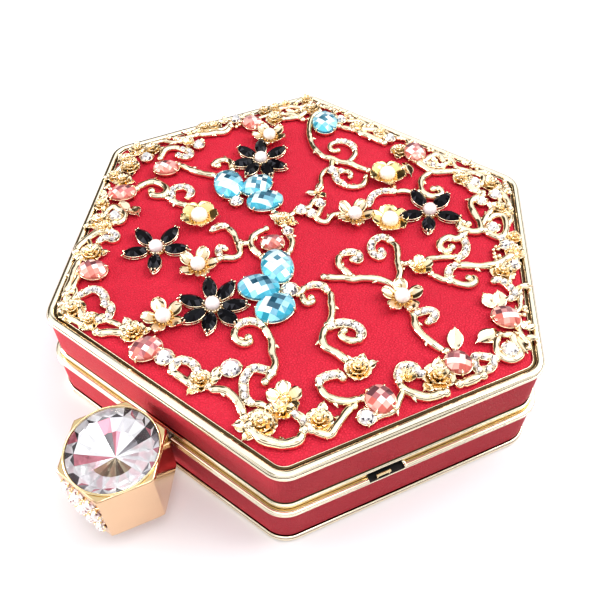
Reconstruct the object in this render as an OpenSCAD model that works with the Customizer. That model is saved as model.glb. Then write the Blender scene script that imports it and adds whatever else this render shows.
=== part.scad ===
// Six-sided minaudiere: a hard-shelled evening box with a jewelled filigree lid,
// a gem-set press clasp in front and a knuckle hinge at the back.
// Millimetres. Origin: centre of the hexagon on the bottom plane. +Z up,
// X along the clasp side, +Y towards the hinge.

/* [Case] */
// Distance across the two sides that carry the clasp and the hinge, over the base frame
case_across = 125.6; // [122:0.4:130]
// How much further out the four slanted sides stand than those two
slant_extra = 3.2; // [2:0.2:4]
// Height of the seam between base and lid
seam_z = 16.2; // [15.8:0.2:17]
// Height of the lid's top rim over the floor
top_z = 32.6; // [32:0.2:34]
// How far the lid's frame stands back from the base's frame
lid_setback = 1.4; // [1.2:0.1:1.6]
// Height of the metal rim around the bottom
bottom_rim_h = 2; // [1.6:0.1:2.4]
// Height of the base's metal frame under the seam
base_frame_h = 1.7; // [1.5:0.1:1.9]
// Height of the lid's metal frame over the seam
lid_frame_h = 1.9; // [1.7:0.1:2.1]
// Height of the lid's top rim
top_rim_h = 1.9; // [1.7:0.1:2.1]
// Thickness of the leather on the sides
cover_t = 0.8; // [0.6:0.1:1]
// Thickness of the shell walls
wall_t = 1.4; // [1.2:0.1:1.6]
// Thickness of the lining
lining_t = 0.7; // [0.5:0.1:0.8]

/* [Hinge] */
// Length of the hinge
hinge_l = 40; // [36:1:48]
// Radius of the hinge pin
hinge_pin_r = 0.8; // [0.7:0.05:0.9]
// Outer radius of a hinge knuckle
knuckle_r = 1.6; // [1.5:0.05:1.7]
// Running clearance of the lid's knuckles on the pin
hinge_fit = 0.05; // [0.03:0.01:0.08]

/* [Clasp] */
// Corner radius of the six-sided clasp knob
knob_r = 13.6; // [13.2:0.1:14]
// Height of the underside of the clasp knob
knob_z0 = 6.8; // [6:0.2:8]
// Height of the top face of the clasp knob
knob_z1 = 26; // [25:0.2:27]
// Radius of the large stone in the knob
gem_r = 11.2; // [10.8:0.1:11.3]
// Radius of the clasp's pivot pin
clasp_pin_r = 0.9; // [0.8:0.05:1]
// Running clearance of the lever on its pin
clasp_fit = 0.05; // [0.03:0.01:0.08]

/* [Ornament] */
// Height of the cast filigree over the lid panel
filigree_h = 1.6; // [1.2:0.1:1.8]
// Radius of the pearls in the five-petal flowers
pearl_r = 2.3; // [2:0.1:2.4]
// Radius of the small crystals set along the scrolls
pave_r = 0.7; // [0.5:0.05:0.8]
// Pitch of the small crystals
pave_pitch = 1.8; // [1.7:0.1:2.4]

/* [Hidden] */

gold = "#e9c27a"; pale_gold = "#f0dca6"; red = "#d32a45"; dark_red = "#8f1a2e";
steel = "#b9bcc0"; black = "#151317"; aqua = "#7fd6ea"; rose = "#e79a97"; clear = "#eef3f6"; pearl = "#f6eee6";

// apothems of the clasp and hinge sides
bo = case_across / 2;            // base frame, outside
bc = bo - 0.6;                   // base leather, outside
bs = bc - cover_t;               // base shell, outside
bi = bs - wall_t;                // base shell, inside
bl = bi - lining_t;              // base lining, inside
lo = bo - lid_setback;           // lid frame, outside
lc = lo - 0.5;                   // lid leather, outside
ls = lc - cover_t;               // lid shell, outside
li = ls - wall_t;                // lid shell, inside
ll = li - lining_t;              // lid lining, inside
lp = lo - 3.1;                   // lid panel's edge
core_b = bo - 8;                 // apothem of the base's corner centres
core_l = lo - 7;                 // apothem of the lid's corner centres
bf = seam_z - base_frame_h;      // underside of the base frame
lf = seam_z + lid_frame_h;       // top of the lid frame
rf = top_z - top_rim_h;          // underside of the top rim
pz = top_z - 0.6;                // top of the lid panel
fz = pz + filigree_h;            // top of the filigree

hinge_y = bo + knuckle_r + 0.2;  // hinge axis
gap = 0.15;                      // play between knuckles
seg = hinge_l / 5;               // knuckle pitch
knob_y = -(bo + 12.95);          // centre of the clasp knob
knob_a = knob_r * cos(30);       // apothem of the knob
near_y = knob_y + knob_a;        // knob's face towards the case
pivot_y = -(bo - 6.4);           // clasp pivot
pivot_z = seam_z - 1.5;

// rounded hexagon: a is the apothem of the two straight sides, core that of the corner centres
function nrm(k) = -30 + 60 * k;
function apo(a, k) = (k % 3 == 2) ? a : a + slant_extra;
function meet(a, k) = let (p = apo(a, k), q = apo(a, k + 1), m = nrm(k), n = nrm(k + 1))
  [(p * sin(n) - q * sin(m)) / sin(60), (q * cos(m) - p * cos(n)) / sin(60)];
function hexpts(a, core) = [for (k = [0:5], i = [0:8]) let (c = meet(core, k), t = nrm(k) + 7.5 * i)
  c + (a - core) * [cos(t), sin(t)]];
module hexplate(a, core, z0, z1) translate([0, 0, z0]) linear_extrude(z1 - z0) polygon(hexpts(a, core));
module hexring(a, b, core, z0, z1) translate([0, 0, z0]) linear_extrude(z1 - z0)
  difference() { polygon(hexpts(a, core)); polygon(hexpts(b, core)); }
module box(a, b) translate(a) cube(b - a);
module rod(p, r, l) translate(p) rotate([0, 90, 0]) cylinder(h = l, r = r, $fn = 32);     // along +X from p
module rody(p, r, l) translate(p) rotate([-90, 0, 0]) cylinder(h = l, r = r, $fn = 32);    // along +Y from p

// ---- base ----
module lever_slot() box([-4.7, -bo - 1, seam_z - 3.6], [4.7, -bi + 1, seam_z + 1]);
rivet_x = [-hinge_l / 2 + 3.5, -hinge_l / 2 + 14, hinge_l / 2 - 14, hinge_l / 2 - 3.5];
base_rivet_z = 11; lid_rivet_z = lf + 3.4;
module base_rivet_holes() for (x = rivet_x) rody([x, bi - 1, base_rivet_z], 0.6, 6);
module lid_rivet_holes() for (x = rivet_x) rody([x, li - 1, lid_rivet_z], 0.6, 6);
bracket_rivet = [[-3, 10.8], [3, 10.8]];
module bracket_holes() for (p = bracket_rivet) rody([p[0], -bs - 1, p[1]], 0.7, 4);

// notches for the chain in the two slanted sides next to the clasp
notch_s0 = -10.8; notch_s1 = -1.1;
module on_slant() for (m = [0, 1]) mirror([m, 0, 0]) rotate([0, 0, -30]) children();      // +X outward, +Y along the side
notch_z = bf + 0.65;             // its floor: the flange of the base frame runs on under it
notch_d = 2.2;                   // its depth
bar_z = seam_z + 0.25;
module notch_base() on_slant() box([bo + slant_extra - notch_d, notch_s0, notch_z], [bo + slant_extra + 1, notch_s1, seam_z + 1]);
module notch_lid() on_slant() box([lo + slant_extra - 1.2, notch_s0, seam_z - 1], [lo + slant_extra + 1, notch_s1, seam_z + 1.2]);
module chain_legs() on_slant() for (s = [-8.4, -5.2])
  translate([bo + slant_extra - 0.55, s, notch_z]) cylinder(h = bar_z - notch_z, r = 0.3, $fn = 32);

module base_shell() color(steel) difference() {
  union() { hexplate(bs, core_b, bottom_rim_h, bottom_rim_h + 1.2); hexring(bs, bi, core_b, bottom_rim_h + 1.2, bf); }
  lever_slot(); base_rivet_holes(); bracket_holes();
}
module base_side_cover() color(red) difference() {
  hexring(bc, bs, core_b, bottom_rim_h, bf);
  lever_slot(); base_rivet_holes();
}
module base_bottom_panel() color(red) hexplate(bo - 1.9, core_b, 0, bottom_rim_h);
module base_bottom_rim() color(gold) hexring(bo, bo - 1.9, core_b, 0, bottom_rim_h);
module base_seam_frame() color(pale_gold) difference() {
  hexring(bo, bi, core_b, bf, seam_z);
  lever_slot(); notch_base();
}
module base_lining() color(dark_red) difference() {
  union() {
    hexplate(bi, core_b, bottom_rim_h + 1.2, bottom_rim_h + 1.2 + lining_t);
    hexring(bi, bl, core_b, bottom_rim_h + 1.2 + lining_t, seam_z - 0.6);
  }
  box([-8.2, -bi - 1, 8.4], [8.2, -bl + 0.5, seam_z]);
}
module base_hinge_leaf() color(gold) difference() {
  union() {
    box([-hinge_l / 2, bc, 8.5], [hinge_l / 2, bc + 1.1, bf - 0.3]);
    for (k = [0, 2, 4]) let (a = -hinge_l / 2 + k * seg + (k > 0 ? gap : 0), b = -hinge_l / 2 + (k + 1) * seg - (k < 4 ? gap : 0)) {
      rod([a, hinge_y, seam_z], knuckle_r, b - a);
      box([a, bo, bf - 1.5], [b, hinge_y, seam_z - 0.6]);
      box([a, bc, bf - 1.5], [b, bo + 0.2, bf]);
    }
  }
  rod([-hinge_l / 2 - 1, hinge_y, seam_z], hinge_pin_r, hinge_l + 2);
  for (x = rivet_x) rody([x, bc - 1, base_rivet_z], 0.6, 4);
}
module base_hinge_rivets() color(pale_gold) for (x = rivet_x) union() {
  rody([x, bi, base_rivet_z], 0.6, bc + 1.1 - bi + 0.2);
  rody([x, bc + 1.1, base_rivet_z], 1.1, 0.5);
}
module hinge_pin() color(steel) union() {
  rod([-hinge_l / 2, hinge_y, seam_z], hinge_pin_r, hinge_l);
  rod([-hinge_l / 2 - 0.7, hinge_y, seam_z], 1.3, 0.7);
  rod([hinge_l / 2, hinge_y, seam_z], 1.3, 0.7);
}
module chain_notch_liners() color(black) difference() {
  on_slant() union() {
    box([bo + slant_extra - notch_d, notch_s0, notch_z], [bo + slant_extra - notch_d + 0.3, notch_s1, seam_z]);
    box([bo + slant_extra - notch_d, notch_s0, notch_z], [bo + slant_extra - 0.15, notch_s1, notch_z + 0.15]);
  }
  chain_legs();
}
module chain_bars() color(gold) union() {
  chain_legs();
  on_slant() rody([bo + slant_extra - 0.55, -8.75, bar_z], 0.35, 3.9);
}

// ---- clasp works ----
module clasp_bracket() color(steel) difference() {
  union() {
    box([-7, -bi, 9], [7, -bi + 0.8, seam_z - 3]);
    for (s = [-1, 1]) {
      box([s * 6 - 0.7, -bi, 10.5], [s * 6 + 0.7, pivot_y + 2, pivot_z + 1]);
      box([s * 6 - 0.7, pivot_y - 1.9, 10.5], [s * 6 + 0.7, pivot_y + 2, pivot_z + 1.9]);
    }
  }
  rod([-9, pivot_y, pivot_z], clasp_pin_r, 18);
  for (p = bracket_rivet) rody([p[0], -bi - 1, p[1]], 0.7, 4);
}
module clasp_bracket_rivets() color(pale_gold) for (p = bracket_rivet) union() {
  rody([p[0], -bs, p[1]], 0.7, wall_t + 0.9);
  rody([p[0], -bi + 0.8, p[1]], 1.2, 0.5);
}
module clasp_pivot_pin() color(steel) union() {
  rod([-6.7, pivot_y, pivot_z], clasp_pin_r, 13.4);
  rod([-7.3, pivot_y, pivot_z], 1.3, 0.6);
  rod([6.7, pivot_y, pivot_z], 1.3, 0.6);
}
// torsion springs beside the lever: a coil around the pin, one leg against the bracket, one under the arm
coil_r = 1.5; wire_r = 0.22; coil_turns = 2; coil_n = 24; ring_n = 6;
function coil_at(u) = let (t = 190 + 360 * coil_turns * u) [3.9 + 1.1 * u, coil_r * cos(t), coil_r * sin(t)];
function spring_path() = concat([[3.8, -4.2, -1.06], [3.8, -2.6, -1.06], [3.83, -1.9, -0.75]],
  [for (i = [0:coil_n * coil_turns]) coil_at(i / (coil_n * coil_turns))],
  [[5.02, -2, -0.8], [5.02, -2.5, -1.7], [5.02, -2.54, -2.4], [5.02, -2.54, -3.4]]);
function tube_ring(p, d, r) = let (e = d / norm(d), a = abs(e[0]) > 0.9 ? [0, 0, 1] : [1, 0, 0],
  u0 = cross(e, a), u = u0 / norm(u0), v = cross(e, u)) [for (i = [0:ring_n - 1]) p + r * (cos(360 * i / ring_n) * u + sin(360 * i / ring_n) * v)];
module tube(path, r) let (m = len(path)) polyhedron(
  points = [for (i = [0:m - 1]) each tube_ring(path[i], path[min(i + 1, m - 1)] - path[max(i - 1, 0)], r)],
  faces = concat([[for (i = [ring_n - 1:-1:0]) i]],
    [for (i = [0:m - 2], j = [0:ring_n - 1]) [i * ring_n + j, i * ring_n + (j + 1) % ring_n, (i + 1) * ring_n + (j + 1) % ring_n, (i + 1) * ring_n + j]],
    [[for (i = [0:ring_n - 1]) (m - 1) * ring_n + i]]));
module clasp_spring() color(steel) for (m = [0, 1]) mirror([m, 0, 0])
  translate([0, pivot_y, pivot_z]) tube(spring_path(), wire_r);

// ---- lid ----
module lid_shell() color(steel) difference() {
  union() { hexring(ls, li, core_l, lf, rf - 1); hexplate(ls, core_l, rf - 1, rf); }
  lid_rivet_holes();
}
module lid_side_cover() color(red) difference() { hexring(lc, ls, core_l, lf, rf); lid_rivet_holes(); }
module lid_top_panel() color(red) hexplate(lp, core_l, rf, pz);
module lid_top_rim() color(pale_gold) union() {
  hexring(lo, lp, core_l, rf, top_z - 0.4);
  hexring(lo - 0.15, lo - 1.9, core_l, top_z - 0.4, top_z);
  hexring(lp + 0.45, lp, core_l, top_z - 0.4, top_z - 0.1);
}
module lid_seam_frame() color(pale_gold) difference() {
  hexring(lo, li, core_l, seam_z, lf);
  notch_lid();
}
module lid_lining() color(dark_red) difference() {
  union() {
    hexring(li, ll, core_l, seam_z + 0.6, rf - 1 - lining_t);
    hexplate(li, core_l, rf - 1 - lining_t, rf - 1);
  }
  box([-7.2, -li - 1, seam_z], [7.2, -ll + 0.5, seam_z + 8]);
}
module lid_hinge_leaf() color(gold) difference() {
  union() {
    box([-hinge_l / 2, lo, seam_z + 0.6], [hinge_l / 2, lo + 0.6, lf + 6]);
    box([-hinge_l / 2, lc, lf], [hinge_l / 2, lo + 0.1, lf + 6]);
    for (k = [1, 3]) let (a = -hinge_l / 2 + k * seg + gap, b = -hinge_l / 2 + (k + 1) * seg - gap) {
      rod([a, hinge_y, seam_z], knuckle_r, b - a);
      box([a, lo, seam_z + 0.6], [b, hinge_y, seam_z + knuckle_r]);
    }
  }
  rod([-hinge_l / 2 - 1, hinge_y, seam_z], hinge_pin_r + hinge_fit, hinge_l + 2);
  for (x = rivet_x) rody([x, lc - 1, lid_rivet_z], 0.6, 4);
}
module lid_hinge_rivets() color(pale_gold) for (x = rivet_x) union() {
  rody([x, li, lid_rivet_z], 0.6, lo + 0.6 - li + 0.2);
  rody([x, lo + 0.6, lid_rivet_z], 1.1, 0.5);
}
module lid_catch() color(steel) union() {
  box([-6.2, -li, lf + 0.2], [6.2, -li + 0.5, lf + 5]);
  for (s = [-1, 1]) box([s * 5.6 - 0.6, -li, lf + 0.2], [s * 5.6 + 0.6, pivot_y + 3.7, lf + 1.7]);
  box([-6.2, pivot_y + 2.35, lf + 0.2], [6.2, pivot_y + 3.7, lf + 1.7]);
}

// ---- clasp knob ----
module clasp_lever() color(steel) difference() {
  union() {
    box([-3, near_y - 3, pivot_z - 0.8], [3, near_y, pivot_z + 0.8]);
    box([-4, near_y, pivot_z - 0.8], [4, pivot_y - 2.2, pivot_z + 0.8]);
    box([-3.6, near_y, pivot_z - 0.8], [3.6, pivot_y, pivot_z + 0.8]);
    rod([-3.6, pivot_y, pivot_z], 2, 7.2);
    box([-3.6, pivot_y - 0.6, pivot_z], [3.6, pivot_y + 0.8, seam_z + 5.3]);
    box([-3.6, pivot_y - 0.6, seam_z + 3.8], [3.6, pivot_y + 2.2, seam_z + 5.3]);
  }
  rod([-9, pivot_y, pivot_z], clasp_pin_r + clasp_fit, 18);
}
module clasp_housing() color(gold) difference() {
  translate([0, knob_y, knob_z0]) cylinder(h = knob_z1 - knob_z0, r = knob_r, $fn = 6);
  translate([0, knob_y, knob_z1 - 6]) cylinder(h = 7, r = gem_r + 0.1, $fn = 72);
  box([-3, near_y - 3, pivot_z - 0.8], [3, near_y + 1, pivot_z + 0.8]);
}
module clasp_stone() color(clear) translate([0, knob_y, 0]) union() {
  translate([0, 0, knob_z1 - 6]) cylinder(h = 5.6, r1 = 0.8, r2 = gem_r, $fn = 72);
  translate([0, 0, knob_z1 - 0.4]) cylinder(h = 0.6, r = gem_r, $fn = 72);
  translate([0, 0, knob_z1 + 0.2]) cylinder(h = 1.9, r1 = gem_r, r2 = 0.8, $fn = 72);
}
module clasp_collar() color(pale_gold) translate([0, knob_y, knob_z1]) difference() {
  cylinder(h = 0.7, r = knob_a - 0.03, $fn = 72);
  translate([0, 0, -1]) cylinder(h = 3, r = gem_r + 0.05, $fn = 72);
}
module chaton(r, h) union() { cylinder(h = 0.35 * h, r = r, $fn = 24); translate([0, 0, 0.35 * h]) cylinder(h = 0.65 * h, r1 = r, r2 = 0.55 * r, $fn = 24); }
module clasp_pave_stones() color(clear)
  for (i = [0:5], j = [0:3]) let (odd = i % 2, x = -4.8 + 3.2 * j + (odd ? -1.6 : 0), z = 8.6 + 3.0 * i)
    if (abs(x) < 5.7) translate([x, knob_y - knob_a, z]) rotate([90, 0, 0]) chaton((i + j) % 3 == 0 ? 1.45 : 1.15, 1);

// ---- ornament ----
function cr4(a, b, c, d, t) = 0.5 * ((2 * b) + (c - a) * t + (2 * a - 5 * b + 4 * c - d) * t * t + (3 * b - a - 3 * c + d) * t * t * t);
function smooth(p, n = 3) = let (m = len(p)) concat([for (i = [0:m - 2], j = [0:n - 1])
  cr4(p[max(i - 1, 0)], p[i], p[i + 1], p[min(i + 2, m - 1)], j / n)], [p[m - 1]]);
function side(q, i, w) = let (m = len(q), d = q[min(i + 1, m - 1)] - q[max(i - 1, 0)], e = d / norm(d), u = min(1, 0.55 + 0.45 * min(i, m - 1 - i) / 3))
  q[i] + [-e[1], e[0]] * w * u / 2;
module strip(p, w) let (q = smooth(p), m = len(q))
  polygon(concat([for (i = [0:m - 1]) side(q, i, w)], [for (i = [m - 1:-1:0]) side(q, i, -w)]));

// scrolls of the lid: [width, carries small crystals, points the stem passes through]
scrolls = [
  [1.7, 0, [[-30, 53], [-29, 47], [-24, 40], [-18, 36], [-12, 35.5], [-6, 37], [0, 37]]],
  [1.9, 0, [[-8, 38], [-8, 41], [-9.5, 43.5]]], [1.9, 1, [[-9, 43], [-11, 45], [-15, 44.5], [-16.5, 41.5]]], [1.9, 0, [[-16.5, 42], [-16, 40.5], [-14, 39.5]]],
  [1.9, 0, [[1, 34], [2, 31], [-1, 28], [-3, 27.8]]], [1.9, 1, [[-2.5, 27.8], [-5, 28], [-7, 30.5], [-5, 33]]],
  [1.6, 0, [[-12, 34.5], [-11, 30], [-10, 26], [-8, 21]]],
  [1.8, 0, [[-7, 10.5], [-1, 10.5], [2, 12.5], [6, 17]]],
  [1.9, 1, [[8, 22], [7.5, 28], [11, 33]]],
  [1.6, 0, [[11.5, 34.5], [14, 36], [18, 38]]],
  [1.8, 0, [[17, 49], [15.5, 44], [18, 39], [22, 38.5], [22.5, 42]]],
  [1.9, 0, [[33, 46], [33, 41], [37, 38], [40, 34], [36, 31.5], [34, 33]]],
  [1.8, 0, [[42, 35], [41, 40], [44, 42]]],
  [1.9, 0, [[37, 29.5], [36, 26.5], [33, 24], [35, 20.5], [37, 23]]],
  [1.9, 1, [[38.5, 29.5], [39, 27], [40.5, 23], [38.5, 20]]],
  [1.7, 0, [[35, 12], [40, 11], [45, 12.5], [47.5, 15], [45.5, 16.5]]],
  [1.9, 0, [[41, 18], [45, 20], [49, 24], [51, 28]]],
  [1.9, 1, [[40, -4], [41.5, -1.5], [44.5, -1], [44.5, -4]]],
  [1.8, 0, [[40, -6], [44, -8], [51, -9.5]]],
  [2.0, 1, [[51, -19], [47, -18.5], [45.5, -21], [47, -24]]],
  [2.0, 0, [[48.5, -25], [52, -25], [55, -23.5]]],
  [1.8, 0, [[30.5, 3], [29.5, 7], [26, 11.5], [21, 14.5]]],
  [1.9, 1, [[19, 15], [17.5, 12], [19, 8.5], [22, 9]]],
  [1.8, 0, [[30, 1.5], [25, 0.5], [20, -3], [14, -7]]],
  [1.9, 1, [[17, -2], [13.5, -0.5], [13.5, 3.5], [17, 5.5], [18, 3.5]]],
  [1.9, 1, [[11, -15], [12.5, -11.5], [17, -10.5], [21, -13.5], [23.5, -18.5]]],
  [1.9, 0, [[24, -21], [26, -25.5], [30, -26], [34, -26.5]]],
  [2.0, 1, [[25.5, -19], [29, -16], [32.5, -18], [31, -21], [28, -20]]],
  [2.0, 0, [[34, -31.5], [31.5, -34], [34, -37.5], [39, -36.5]]],
  [1.9, 1, [[10, -30], [6, -31], [5, -34.5], [8, -37.5], [10.5, -35.5]]],
  [1.9, 0, [[12, -30.5], [17, -34.5], [20.5, -39], [21, -42]]],
  [2.0, 1, [[20, -41], [16.5, -42], [16.5, -46], [19, -49]]],
  [2.0, 0, [[-51, -9], [-49.5, -5], [-45.5, -6], [-46, -9.5], [-48.5, -9.5]]],
  [1.8, 0, [[-44, -9], [-40, -8.5], [-35, -7.5]]],
  [1.9, 1, [[-42, -7], [-44, -4], [-41, -1.5], [-38, -3.5]]],
  [1.8, 0, [[-48, 5], [-43, 6], [-37, 8]]],
  [1.8, 0, [[-35, 13], [-38, 15.5], [-41.5, 13], [-40, 11]]],
  [1.8, 0, [[-22, -9.5], [-17, -8.5], [-11, -13], [-12, -17], [-14, -19]]],
  [1.8, 0, [[-10.5, -11], [-11.5, -7], [-11, -3], [-9, 0]]],
  [1.8, 0, [[-4, 0.5], [0, -3], [1, -6]]],
  [1.7, 0, [[-9, 8], [-6, 9.5]]],
  [1.9, 0, [[42, -39], [41.5, -43], [39, -46]]]
];
// scrolls, roses and leaves along the edge of the panel
edge_scrolls = [
  [1.9, 0, [[9.5, 50], [16.5, 48.5], [22.5, 53]]],
  [1.8, 0, [[23, 53], [28.5, 49.5], [33.5, 48.5]]],
  [1.8, 0, [[40, 39], [42.5, 43], [46, 38], [46, 34.5], [41, 34.5]]],
  [1.9, 1, [[51.5, 18.5], [54.5, 19.5], [58, 17.5], [57.5, 15]]],
  [1.7, 0, [[60.5, 3], [61.5, -2], [66, -3], [67, 1], [63, 4.5]]],
  [1.8, 1, [[63, -4.5], [59.5, -6], [59.5, -9], [62, -9.5], [63, -6]]],
  [2.0, 0, [[59, -16], [60.5, -14], [62.5, -10.5]]],
  [1.7, 0, [[49, -25.5], [50, -30.5], [47.5, -36]]],
  [1.9, 1, [[37.5, -47], [34, -46], [31.5, -46]]],
  [2.2, 0, [[36, -48], [36, -52], [31.5, -55], [25, -54.5]]],
  [1.9, 0, [[10.5, -52], [15.5, -50.5], [23, -53.5]]],
  [2.0, 1, [[0.5, -54], [0, -50.5], [3, -49.3], [6, -50.5]]],
  [1.9, 0, [[0.5, -54], [4, -54.3], [8, -54]]],
  [1.9, 0, [[-23.5, -56.5], [-20.5, -54.5], [-17, -52.5]]],
  [1.6, 0, [[-24.5, -52.5], [-21.5, -52], [-19, -51.5]]],
  [2.0, 1, [[-36, -51], [-34.5, -47], [-30.5, -47], [-28.5, -49]]],
  [2.0, 1, [[-28.5, -49], [-25, -50], [-24.5, -52], [-26, -54]]],
  [1.8, 0, [[-33.5, -53.5], [-31, -55], [-28.5, -55.5]]],
  [1.8, 0, [[-39.5, -52.5], [-42, -48.5], [-44.5, -44.5], [-46, -41]]],
  [1.8, 0, [[-49, -40], [-50, -35], [-49, -30], [-46.5, -28.5]]],
  [1.9, 1, [[-46.5, -28.5], [-43.5, -30], [-46.5, -33.5]]],
  [1.7, 0, [[-52.5, -25.5], [-53.5, -20.5], [-48, -21.5], [-48.5, -25]]],
  [1.8, 0, [[-57.5, 4], [-59, 8], [-57, 11], [-55, 11.5]]],
  [1.9, 1, [[-55, 11.5], [-52, 12.2], [-50.3, 10.5], [-52.5, 8.3]]],
  [1.6, 0, [[-39.5, 45.5], [-36.5, 47], [-32, 47]]],
  [1.6, 0, [[-37.5, 43.5], [-34, 48], [-33.5, 52.5]]],
  [1.8, 0, [[-56, 20], [-51.5, 24.5], [-49.5, 30]]],
  [1.8, 0, [[-14.5, 53], [-9, 52], [-3, 52]]],
  [1.7, 0, [[-14.5, 53.5], [-9.5, 56], [-4.5, 55]]],
  [1.7, 0, [[12, 50.5], [12.5, 54], [15.5, 56], [18, 54]]],
  [1.7, 0, [[25, 53], [28.5, 55.5], [31.5, 52], [31, 50]]],
  [1.7, 0, [[36, 53], [41, 49.5], [43, 47]]],
  [1.6, 0, [[-20, 51], [-17.5, 51.5], [-15, 52]]],
  [1.6, 0, [[-60.5, 14.5], [-58, 16.5], [-56, 19.5]]],
  [1.6, 0, [[-38, -55.5], [-33.5, -57.5], [-26, -57]]]
];
// [x, y, radius]
roses = [[27, -52.5, 4.2], [8, -52, 3.4], [-16, -51, 3.6], [-34, -56, 4], [-27.5, -55.5, 3.2], [-45, -38, 3.6], [-52.5, -27.5, 3.4],
  [-60, -10.5, 3], [-62.5, -4.5, 3.2], [-66.5, -3, 2.8], [-67, 3, 3.2], [-63, 6, 3], [-56, 24, 3.2], [-54, 26.5, 2.8], [-40, 41.5, 3],
  [-33, 54, 3.2], [-14.5, 54.5, 3], [3, 51.5, 3.2], [25.5, 51, 3.2], [34.5, 54.5, 3.4], [52, 23, 3.6], [54, -17, 4.2], [37, -26.5, 3.6],
  [37.5, -44, 3.6], [40.5, 45, 3], [51.5, 31.5, 3], [-64, -11, 2.8], [-6.5, 57, 2.6], [-49.5, -29, 2.8], [-36.5, 49.5, 3.2], [48, -21.5, 2.2]];
// [base, tip, width]
leaves = [[[53.5, -7.5], [50.5, -2], 4.2], [[55.5, 10.5], [51.5, 12.5], 4.4], [[57, 11.5], [54, 15.5], 4], [[59.5, 4], [57, -2.5], 4.6],
  [[63.5, 5], [69, 1.5], 4.6], [[10.5, -50], [9.5, -46.5], 3], [[25, -55], [22.5, -57], 3.4], [[53.5, -17], [51.5, -12.5], 3.2],
  [[-49.5, -17.5], [-45, -19], 4], [[-49, -19], [-53, -18.5], 3.4], [[7, 47.5], [12, 43], 3.6], [[18, 55], [20, 57], 3.6]];
// [x, y, length, width, angle]
aqua_ovals = [[-31, 6.5, 11.4, 8.6, -46], [-23.5, 11.5, 10.2, 7.6, 78], [-17.2, 5.5, 10.4, 8, 40],
  [1.5, -11.5, 11, 8.4, -42], [1.5, -21.3, 11, 8, 26], [10.5, -24.6, 10.4, 8.2, 68], [-24.2, 48.8, 11.2, 8.2, 127]];
rose_ovals = [[-44, 35, 7.4, 6, -3], [-52, 1, 8, 6, 40], [-54.5, -15, 8, 6, 45], [-39.5, -42.5, 8, 6.5, 17], [-6.2, -4, 6.4, 5, 40],
  [-9.3, -52.6, 8, 6.2, 64], [46, -31.3, 7.6, 6.6, -37], [55.5, -11, 7, 6.2, -10], [59, 8.5, 7.2, 6, 7], [7.8, 52.6, 8.4, 6.4, 127]];
// [x, y, diameter]
crystals = [[-24.6, 1.8, 3.4], [-10.2, 10.8, 3.4], [9.3, -16.4, 4.2], [-3.2, -51.4, 4.2], [12, -45.5, 4.8], [45.2, -37.8, 4],
  [64, -1.5, 4.2], [-51.5, 16, 3.6], [-17.5, 52.5, 3.4], [-2.5, 53.5, 3.4], [29.5, 50, 3.4], [38.5, 46, 3.6], [43.5, 38, 3.2],
  [-48, -25.5, 3.6], [-61.5, 3, 3.6], [-9, 31.5, 2.8], [-49.5, 31.5, 3.6], [53, 26, 3.2], [49, 33.5, 3]];
five_petal = [[-36, 32.6, 10], [-17.5, -24, 40], [-13, -43, 5], [7, 17.5, 30], [34.5, -1, 55], [28, -46, 20]];
cups = [[-29.5, -9, 30], [5.5, 38.5, 37], [17, 21.5, 60]];
// black flowers: [x, y, directions of the petals]
black_flowers = [[-30.5, 22, [6, 69, 128, 180, 235, 280, 327]], [-31, -26, [31, 91, 170, 233, 309]],
  [-4.5, -32.5, [36, 92, 138, 202, 254, 302, 353]], [24.5, 32, [12, 82, 153, 233, 296]]];

module oval2d(l, w, n = 24) polygon([for (i = [0:n - 1]) [l / 2 * cos(360 * i / n), w / 2 * sin(360 * i / n)]]);
function marquise(l, w) = let (h = l / 2, s = w / 2, r = (h * h + s * s) / (2 * s), a = asin(h / r))
  concat([for (i = [0:5]) let (t = a - 2 * a * i / 6) [r * sin(t), r * cos(t) - (r - s)]],
         [for (i = [0:5]) let (t = -a + 2 * a * i / 6) [r * sin(t), -(r * cos(t) - (r - s))]]);
module at(p) translate([p[0], p[1], 0]) rotate([0, 0, len(p) > 4 ? p[4] : 0]) children();

module rose2d(p) translate([p[0], p[1]]) polygon([for (i = [0:23]) let (r = p[2] * (0.88 + 0.12 * cos(75 * i))) [r * cos(15 * i), r * sin(15 * i)]]);
module leaf2d(l) let (d = l[1] - l[0]) translate((l[0] + l[1]) / 2) rotate(atan2(d[1], d[0])) polygon(marquise(norm(d) + 1.6, l[2]));
module border2d() intersection() {
  union() {
    for (v = edge_scrolls) strip(v[2], v[0]);
    for (p = roses) rose2d(p);
    for (l = leaves) leaf2d(l);
  }
  polygon(hexpts(lp - 0.3, core_l));
}
module border_keep() offset(delta = 0.05) border2d();
module vines2d() for (v = scrolls) strip(v[2], v[0]);
module flower2d() {
  for (f = five_petal) translate([f[0], f[1]]) rotate(f[2]) { circle(r = 2.4, $fn = 16); for (i = [0:4]) rotate(72 * i) translate([3.1, 0]) circle(r = 1.75, $fn = 16); }
  for (f = cups) translate([f[0], f[1]]) rotate(f[2]) { circle(r = 3.6, $fn = 24); for (i = [0:3]) rotate(90 * i) translate([2.9, 0]) circle(r = 2.5, $fn = 16); }
}
module marquise2d(g) for (f = black_flowers) translate([f[0], f[1]]) {
  for (t = f[2]) rotate(t) translate([5.7, 0]) polygon(marquise(7.2 + 2 * g, 3.1 + 2 * g));
  if (g > 0) circle(r = 2.5, $fn = 16);
}
module seats2d() { for (p = concat(aqua_ovals, rose_ovals)) at(p) oval2d(p[2] + 0.8, p[3] + 0.8); for (p = crystals) translate([p[0], p[1]]) circle(r = p[2] / 2 + 0.4, $fn = 16); }
module cast(z0, h) translate([0, 0, z0]) linear_extrude(h) offset(delta = -0.08) offset(delta = 0.23) offset(delta = -0.15) children();

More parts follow.
